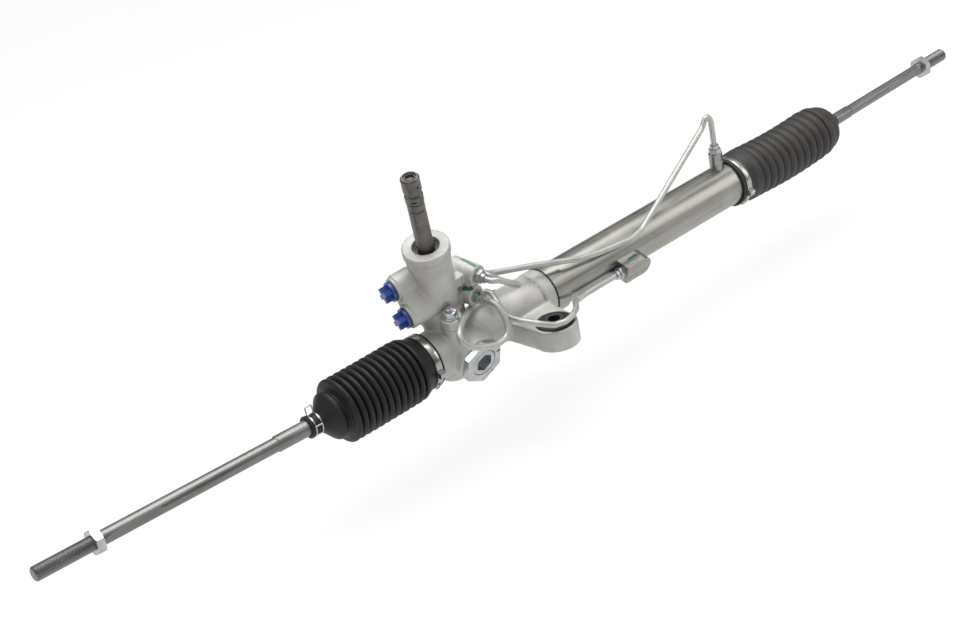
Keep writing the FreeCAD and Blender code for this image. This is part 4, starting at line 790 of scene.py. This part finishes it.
rodSet = {
    "root": [(14.0, 6.2), (15.0, 6.2)], "shankStart": 18.0, "shankSlope": 1.5, "underNut": 6.5,
    "flatsFromNut": 6.0, "flatDepth": 0.9, "flatRunOut": 4.0, "flatSteps": 44,
    "nutHeight": 8.0, "nutGap": 0.4, "threadRadius": 7.0, "threadCore": 6.2, "pitch": 1.5,
    "ringsPerTurn": 10, "tipLength": 1.4, "tipRadius": (6.95, 5.6),
}


def makeTieRod(c, s):
    side = c["side"]
    place = rodFrame(c)
    radius = c["rod"]
    threadStart = c["nut"] + s["nutHeight"] + s["nutGap"]
    flatsEnd = c["nut"] - s["flatsFromNut"]
    flatsStart = flatsEnd - c["flats"]
    shank = [(s["shankStart"], c["shank"]), (c["shankEnd"], c["shank"]),
             (c["shankEnd"] + s["shankSlope"], radius)]
    outline = roundedOutline(s["root"] + shank + [(flatsStart - 2, radius)], 0.8)
    steps = s["flatSteps"]
    outline += [Vector((flatsStart + c["flats"] * k / steps, radius)) for k in range(1, steps)]
    outline += [(flatsEnd + 2, radius), (flatsEnd + 3, s["underNut"]), (threadStart, s["underNut"])]
    mesh = turnedMesh(f"rod{side.title()}", outline, Matrix.Identity(4), 72)
    cheek = radius - s["flatDepth"]
    for vert in mesh.vertices:
        along = vert.co.x / mm
        fromEnd = min(along - flatsStart, flatsEnd - along)
        if fromEnd > 0:
            limit = cheek + (radius - cheek) * max(0.0, 1 - fromEnd / s["flatRunOut"]) ** 2
            vert.co.y = max(-limit * mm, min(limit * mm, vert.co.y))
    mesh.transform(place)
    rod = shaded(meshObject(f"rod{side.title()}", mesh, finishes["rod_steel"]), 20)
    length = c["length"] - s["tipLength"] - threadStart
    turns = round(length / s["pitch"])
    sizes = {"Length": length * mm, "Crest Radius": s["threadRadius"] * mm,
             "Groove Radius": s["threadCore"] * mm, "Folds": turns * 1.0, "Roundness": 0.8, "Helix": 1.0,
             "Sides": 48, "Rings": turns * s["ringsPerTurn"]}
    thread = foldedPiece(f"thread{side.title()}", sizes, movedAlong(place, threadStart), "rod_steel")
    wide, narrow = s["tipRadius"]
    outline = [(threadStart + length, wide), (c["length"], narrow), (c["length"], 0.0)]
    tip = turnedPiece(f"tip{side.title()}", outline, place, "rod_steel", 48)
    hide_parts(f"tie_rod_{side}")
    for piece in (rod, thread, tip):
        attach(piece, f"tie_rod_{side}")


for end in (leftEnd, rightEnd):
    makeBellows(end, bellowsSet)
    makeLargeClamp(end, clampSet)
    makeTieRod(end, rodSet)
makeCageClip(leftEnd, cageSet)
makeRingClip(rightEnd, ringSet)
print("rack ends made")


# Castings: the CAD solid remeshed, so that its corners get the soft radii of a sand casting

rackLine = {"point": (0, 60, 24), "axis": (1, 0, 0)}
pinionLine = {"point": (-75, 74.539, 27.223), "axis": (-0.160743, -0.213625, 0.963601)}
# Each step is (from, to, change of radius) along the line, on the wall of the stated radius
castings = {
    "rack_housing": {"piece": "castRackHousing", "voxel": 1.15, "smooth": 6, "line": rackLine, "wall": 24.7,
                     "steps": [(21.8, 24.9, -1.9), (25.2, 37.6, 0.55)]},
    "valve_housing": {"piece": "castValveHousing", "voxel": 0.8, "smooth": 5, "line": pinionLine,
                      "wall": 23.0, "steps": [(60.0, 108.6, -1.5)]},
}
# How far from the wall a step reaches, and over what length it rises
stepSet = {"reach": 2.2, "rise": 1.2, "firmness": 1.6}


def stepWall(obj, c, s):
    start = Vector(c["line"]["point"]) * mm
    axis = Vector(c["line"]["axis"]).normalized()
    for vert in obj.data.vertices:
        away = vert.co - start
        along = away.dot(axis)
        radial = away - axis * along
        share = 1 - abs(radial.length / mm - c["wall"]) / s["reach"]
        if share <= 0:
            continue
        for low, high, change in c["steps"]:
            rise = min(along / mm - low, high - along / mm) / s["rise"]
            if rise > 0:
                vert.co += radial.normalized() * change * mm * min(1, rise) * min(1, share * s["firmness"])


def castCopy(node, c):
    work = bmesh.new()
    work.from_mesh(nodes[node].data)
    bmesh.ops.remove_doubles(work, verts=work.verts, dist=1e-5)
    obj = linked(bpy.data.objects.new(c["piece"], meshFrom(c["piece"], work)))
    remesh = obj.modifiers.new("remesh", "REMESH")
    remesh.mode = "VOXEL"
    remesh.voxel_size = c["voxel"] * mm
    soften = obj.modifiers.new("soften", "SMOOTH")
    soften.factor = 0.5
    soften.iterations = c["smooth"]
    obj = finished(obj)
    stepWall(obj, c, stepSet)
    thin = obj.modifiers.new("thin", "DECIMATE")
    thin.ratio = 0.5
    obj = finished(obj)
    obj.data.materials.clear()
    obj.data.materials.append(finishes["cast_aluminium"])
    shaded(obj)
    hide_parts(node)
    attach(obj, "housing")
    return obj


# Input shaft: turned along the pinion line, with the pin hole and the slot of the collar cut afterwards

shaftSet = {
    "outline": [(44.3, 3.55), (44.3, 6.45), (50.3, 6.45), (50.3, 8.9), (86.6, 8.9), (87.6, 8.3),
                (161.8, 8.3), (162.0, 7.7), (163.2, 7.7), (163.4, 8.3), (170.3, 8.3), (170.5, 7.6),
                (171.2, 7.6), (171.5, 8.8), (178.2, 8.8), (179.0, 8.1), (179.5, 6.9), (182.4, 6.9),
                (183.4, 8.3), (184.2, 9.0), (197.7, 9.0), (199.0, 7.9), (199.0, 6.5), (197.2, 6.1),
                (197.2, 5.2), (198.4, 4.9), (198.4, 4.4), (196.0, 3.55), (44.3, 3.55)],
    "pinAxis": (0, 0.9763, 0.2164), "pinAt": 191.0, "pinRadius": 1.5, "pinReach": 12.0,
    "slotAt": 175.6, "slotAngle": -96.0, "slotOut": 9.2, "slotSize": (3.2, 3.2, 5.2),
}


def cutBy(obj, cutters):
    for cutter in cutters:
        live = obj.modifiers.new("cut", "BOOLEAN")
        live.operation = "DIFFERENCE"
        live.object = cutter
    obj = finished(obj)
    for cutter in cutters:
        bpy.data.objects.remove(cutter)
    return obj


def makeInputShaft(c):
    place = frameAlong(pinionLine["point"], pinionLine["axis"])
    shaft = turnedPiece("inputShaft", c["outline"], place, "shaft_steel", 96)
    middle = place @ Vector((c["pinAt"] * mm, 0, 0))
    reach, radius = c["pinReach"], c["pinRadius"]
    hole = [(-reach, 0.0), (-reach, radius), (reach, radius), (reach, 0.0)]
    pinHole = turnedMesh("pinHole", hole, frameAlong(middle / mm, c["pinAxis"]), 24)
    work = bmesh.new()
    bmesh.ops.create_cube(work, size=1.0)
    slot = meshFrom("slot", work)
    deep, tall, wide = c["slotSize"]
    size = Matrix.Diagonal((tall * mm, deep * mm, wide * mm, 1))
    turn = Matrix.Rotation(math.radians(c["slotAngle"]), 4, "X")
    outward = Matrix.Translation((0, c["slotOut"] * mm, 0))
    slot.transform(movedAlong(place, c["slotAt"]) @ turn @ outward @ size)
    cutters = [meshObject("pinHole", pinHole, smooth=False), meshObject("slot", slot, smooth=False)]
    shaft = cutBy(shaft, cutters)
    shaft.data.set_sharp_from_angle(angle=math.radians(35))
    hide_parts("input_shaft")
    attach(shaft, "input_shaft")
    print("input shaft made,", len(shaft.data.polygons), "faces")


makeInputShaft(shaftSet)


# Flange nuts on studs that hold the valve housing down, along the pinion line

studSet = {
    "places": [(-82.4, 49.274, 20.387), (-67.6, 99.805, 34.059)], "seat": 46.5, "bore": 3.4,
    "washer": 7.3, "washerHeight": 1.6, "flats": 12.0, "nutHeight": 6.2,
    "stud": 3.6, "thread": 3.0, "pitch": 1.0, "threadDepth": 0.55, "sunk": 0.4,
    "shank": 3.3, "shankFrom": 25.0,
}


def hexagonNut(name, flats, foot, height, frameMatrix, slotName):
    corner = flats / math.sqrt(3)
    top = foot + height
    outline = [(foot, 0.0), (foot, corner - 0.2), (foot + 0.3, corner), (top - 1.0, corner),
               (top - 0.35, corner - 0.7), (top, corner - 1.5), (top, 0.0)]
    blank = turnedMesh(name, outline, Matrix.Identity(4), 96)
    for vert in blank.vertices:
        angle = math.atan2(vert.co.z, vert.co.y) % (math.pi / 3) - math.pi / 6
        radius = math.hypot(vert.co.y, vert.co.z)
        most = flats / 2 * mm / math.cos(angle)
        if radius > most:
            vert.co.y *= most / radius
            vert.co.z *= most / radius
    blank.transform(frameMatrix)
    return shaded(meshObject(name, blank, finishes[slotName]), 28)


def makeStud(number, c):
    place = frameAlong(c["places"][number], pinionLine["axis"])
    seat, stud = c["seat"], c["stud"]
    top = seat + c["washerHeight"]
    threadStart = top + c["nutHeight"] - c["sunk"]
    threadEnd = threadStart + c["thread"]
    washer = [(seat, c["bore"]), (seat, c["washer"] - 0.3), (seat + 0.3, c["washer"]),
              (top - 0.5, c["washer"]), (top, c["washer"] - 0.8), (top, c["bore"])]
    sizes = {"Length": c["thread"] * mm, "Crest Radius": stud * mm,
             "Groove Radius": (stud - c["threadDepth"]) * mm, "Folds": c["thread"] / c["pitch"],
             "Roundness": 0.8, "Helix": 1.0, "Sides": 48, "Rings": 30}
    tip = [(threadEnd, stud - 0.1), (threadEnd + 0.5, stud - 0.9), (threadEnd + 0.6, 0.0)]
    shankEnd = seat + 0.2
    shank = [(c["shankFrom"], 0.0), (c["shankFrom"], c["shank"]), (shankEnd, c["shank"]), (shankEnd, 0.0)]
    return joined(f"stud{number}", [
        turnedPiece("washer", washer, place, "zinc_steel", 64),
        hexagonNut("nut", c["flats"], top, c["nutHeight"], place, "zinc_steel"),
        foldedPiece("studThread", sizes, movedAlong(place, threadStart), "zinc_steel"),
        turnedPiece("studTip", tip, place, "zinc_steel", 48),
        turnedPiece("studShank", shank, place, "zinc_steel", 32),
    ])


studs = shaded(joined("valveStuds", [makeStud(number, studSet) for number in range(2)]), 28)
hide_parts("valve_housing_bolts")
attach(studs, "housing")
print("studs made")

for node, c in castings.items():
    piece = castCopy(node, c)
    print("casting", node, len(piece.data.polygons), "faces")


# Studio: pale floor, white surroundings and three soft lamps. The floor lies low enough for a tie rod that
# hangs down at its limit.

studio = {
    "floorGap": 64.0, "floorSize": 12.0, "floorColor": (0.92, 0.92, 0.92, 1), "whiteShare": 0.86,
    "ambient": 0.85, "skyGrey": [(0.0, 0.08), (0.3, 0.24), (0.85, 1.0)],
}


# Links the mix of two shaders to the output of a tree; a factor of one shows the second
def mixToOutput(tree, kind, factor, first, second):
    mix = addNode(tree, "ShaderNodeMixShader")
    tree.links.new(factor, mix.inputs[0])
    tree.links.new(first.outputs[0], mix.inputs[1])
    tree.links.new(second.outputs[0], mix.inputs[2])
    tree.links.new(mix.outputs[0], addNode(tree, kind).inputs[0])


def makeFloor(c):
    size = c["floorSize"]
    height = cadBounds[0][2] - c["floorGap"] * mm
    corners = [(-size, -size, height), (size, -size, height), (size, size, height), (-size, size, height)]
    mesh = bpy.data.meshes.new("floor")
    mesh.from_pydata(corners, [], [(0, 1, 2, 3)])
    material = bpy.data.materials.new("paleFloor")
    material.use_nodes = True
    tree = material.node_tree
    tree.nodes.clear()
    matte = addNode(tree, "ShaderNodeBsdfDiffuse")
    matte.inputs["Color"].default_value = c["floorColor"]
    glow = addNode(tree, "ShaderNodeEmission")
    path = addNode(tree, "ShaderNodeLightPath").outputs
    seen = mathNode(tree, "MAXIMUM", path["Is Camera Ray"],
                    mathNode(tree, "MAXIMUM", path["Is Glossy Ray"], path["Is Transmission Ray"]))
    share = mathNode(tree, "MULTIPLY", seen, c["whiteShare"])
    mixToOutput(tree, "ShaderNodeOutputMaterial", share, matte, glow)
    meshObject("floor", mesh, material, smooth=False)


# The camera sees white, and the object is lit by a sky that darkens towards the horizon
def makeWorld(c):
    world = bpy.data.worlds.new("studio")
    bpy.context.scene.world = world
    world.use_nodes = True
    tree = world.node_tree
    tree.nodes.clear()
    split = addNode(tree, "ShaderNodeSeparateXYZ")
    tree.links.new(addNode(tree, "ShaderNodeTexCoord").outputs["Generated"], split.inputs[0])
    ramp = addNode(tree, "ShaderNodeValToRGB")
    places, greys = zip(*c["skyGrey"])
    stops = ramp.color_ramp.elements
    stops[0].position, stops[1].position = places[0], places[2]
    stops.new(places[1])
    for stop, grey in zip(stops, greys):
        stop.color = (grey, grey, grey, 1)
    tree.links.new(split.outputs[2], ramp.inputs[0])
    ambient = addNode(tree, "ShaderNodeBackground")
    ambient.inputs["Strength"].default_value = c["ambient"]
    tree.links.new(ramp.outputs[0], ambient.inputs["Color"])
    backdrop = addNode(tree, "ShaderNodeBackground")
    backdrop.inputs["Color"].default_value = (1, 1, 1, 1)
    path = addNode(tree, "ShaderNodeLightPath").outputs
    seen = mathNode(tree, "MAXIMUM", path["Is Camera Ray"], path["Is Transmission Ray"])
    mixToOutput(tree, "ShaderNodeOutputWorld", seen, ambient, backdrop)


lamps = [
    {"name": "topSoftbox", "place": (0.1, 0.2, 1.7), "aim": (0.05, 0.06, 0.03),
     "size": (2.2, 1.2), "power": 34.0},
    {"name": "leftSoftbox", "place": (-1.6, -1.0, 1.0), "aim": (-0.1, 0.06, 0.05),
     "size": (0.9, 1.4), "power": 2.5},
    {"name": "rightSoftbox", "place": (1.5, -1.1, 0.9), "aim": (0.1, 0.06, 0.05),
     "size": (0.8, 1.2), "power": 7.0},
]


def makeLamp(c):
    data = bpy.data.lights.new(c["name"], "AREA")
    data.shape = "RECTANGLE"
    data.size, data.size_y = c["size"]
    data.energy = c["power"]
    lamp = linked(bpy.data.objects.new(c["name"], data))
    place = Vector(c["place"])
    look = (Vector(c["aim"]) - place).to_track_quat("-Z", "Y").to_matrix().to_4x4()
    lamp.matrix_world = Matrix.Translation(place) @ look


makeFloor(studio)
makeWorld(studio)
for c in lamps:
    makeLamp(c)
print("studio made")

bpy.context.view_layer.update()
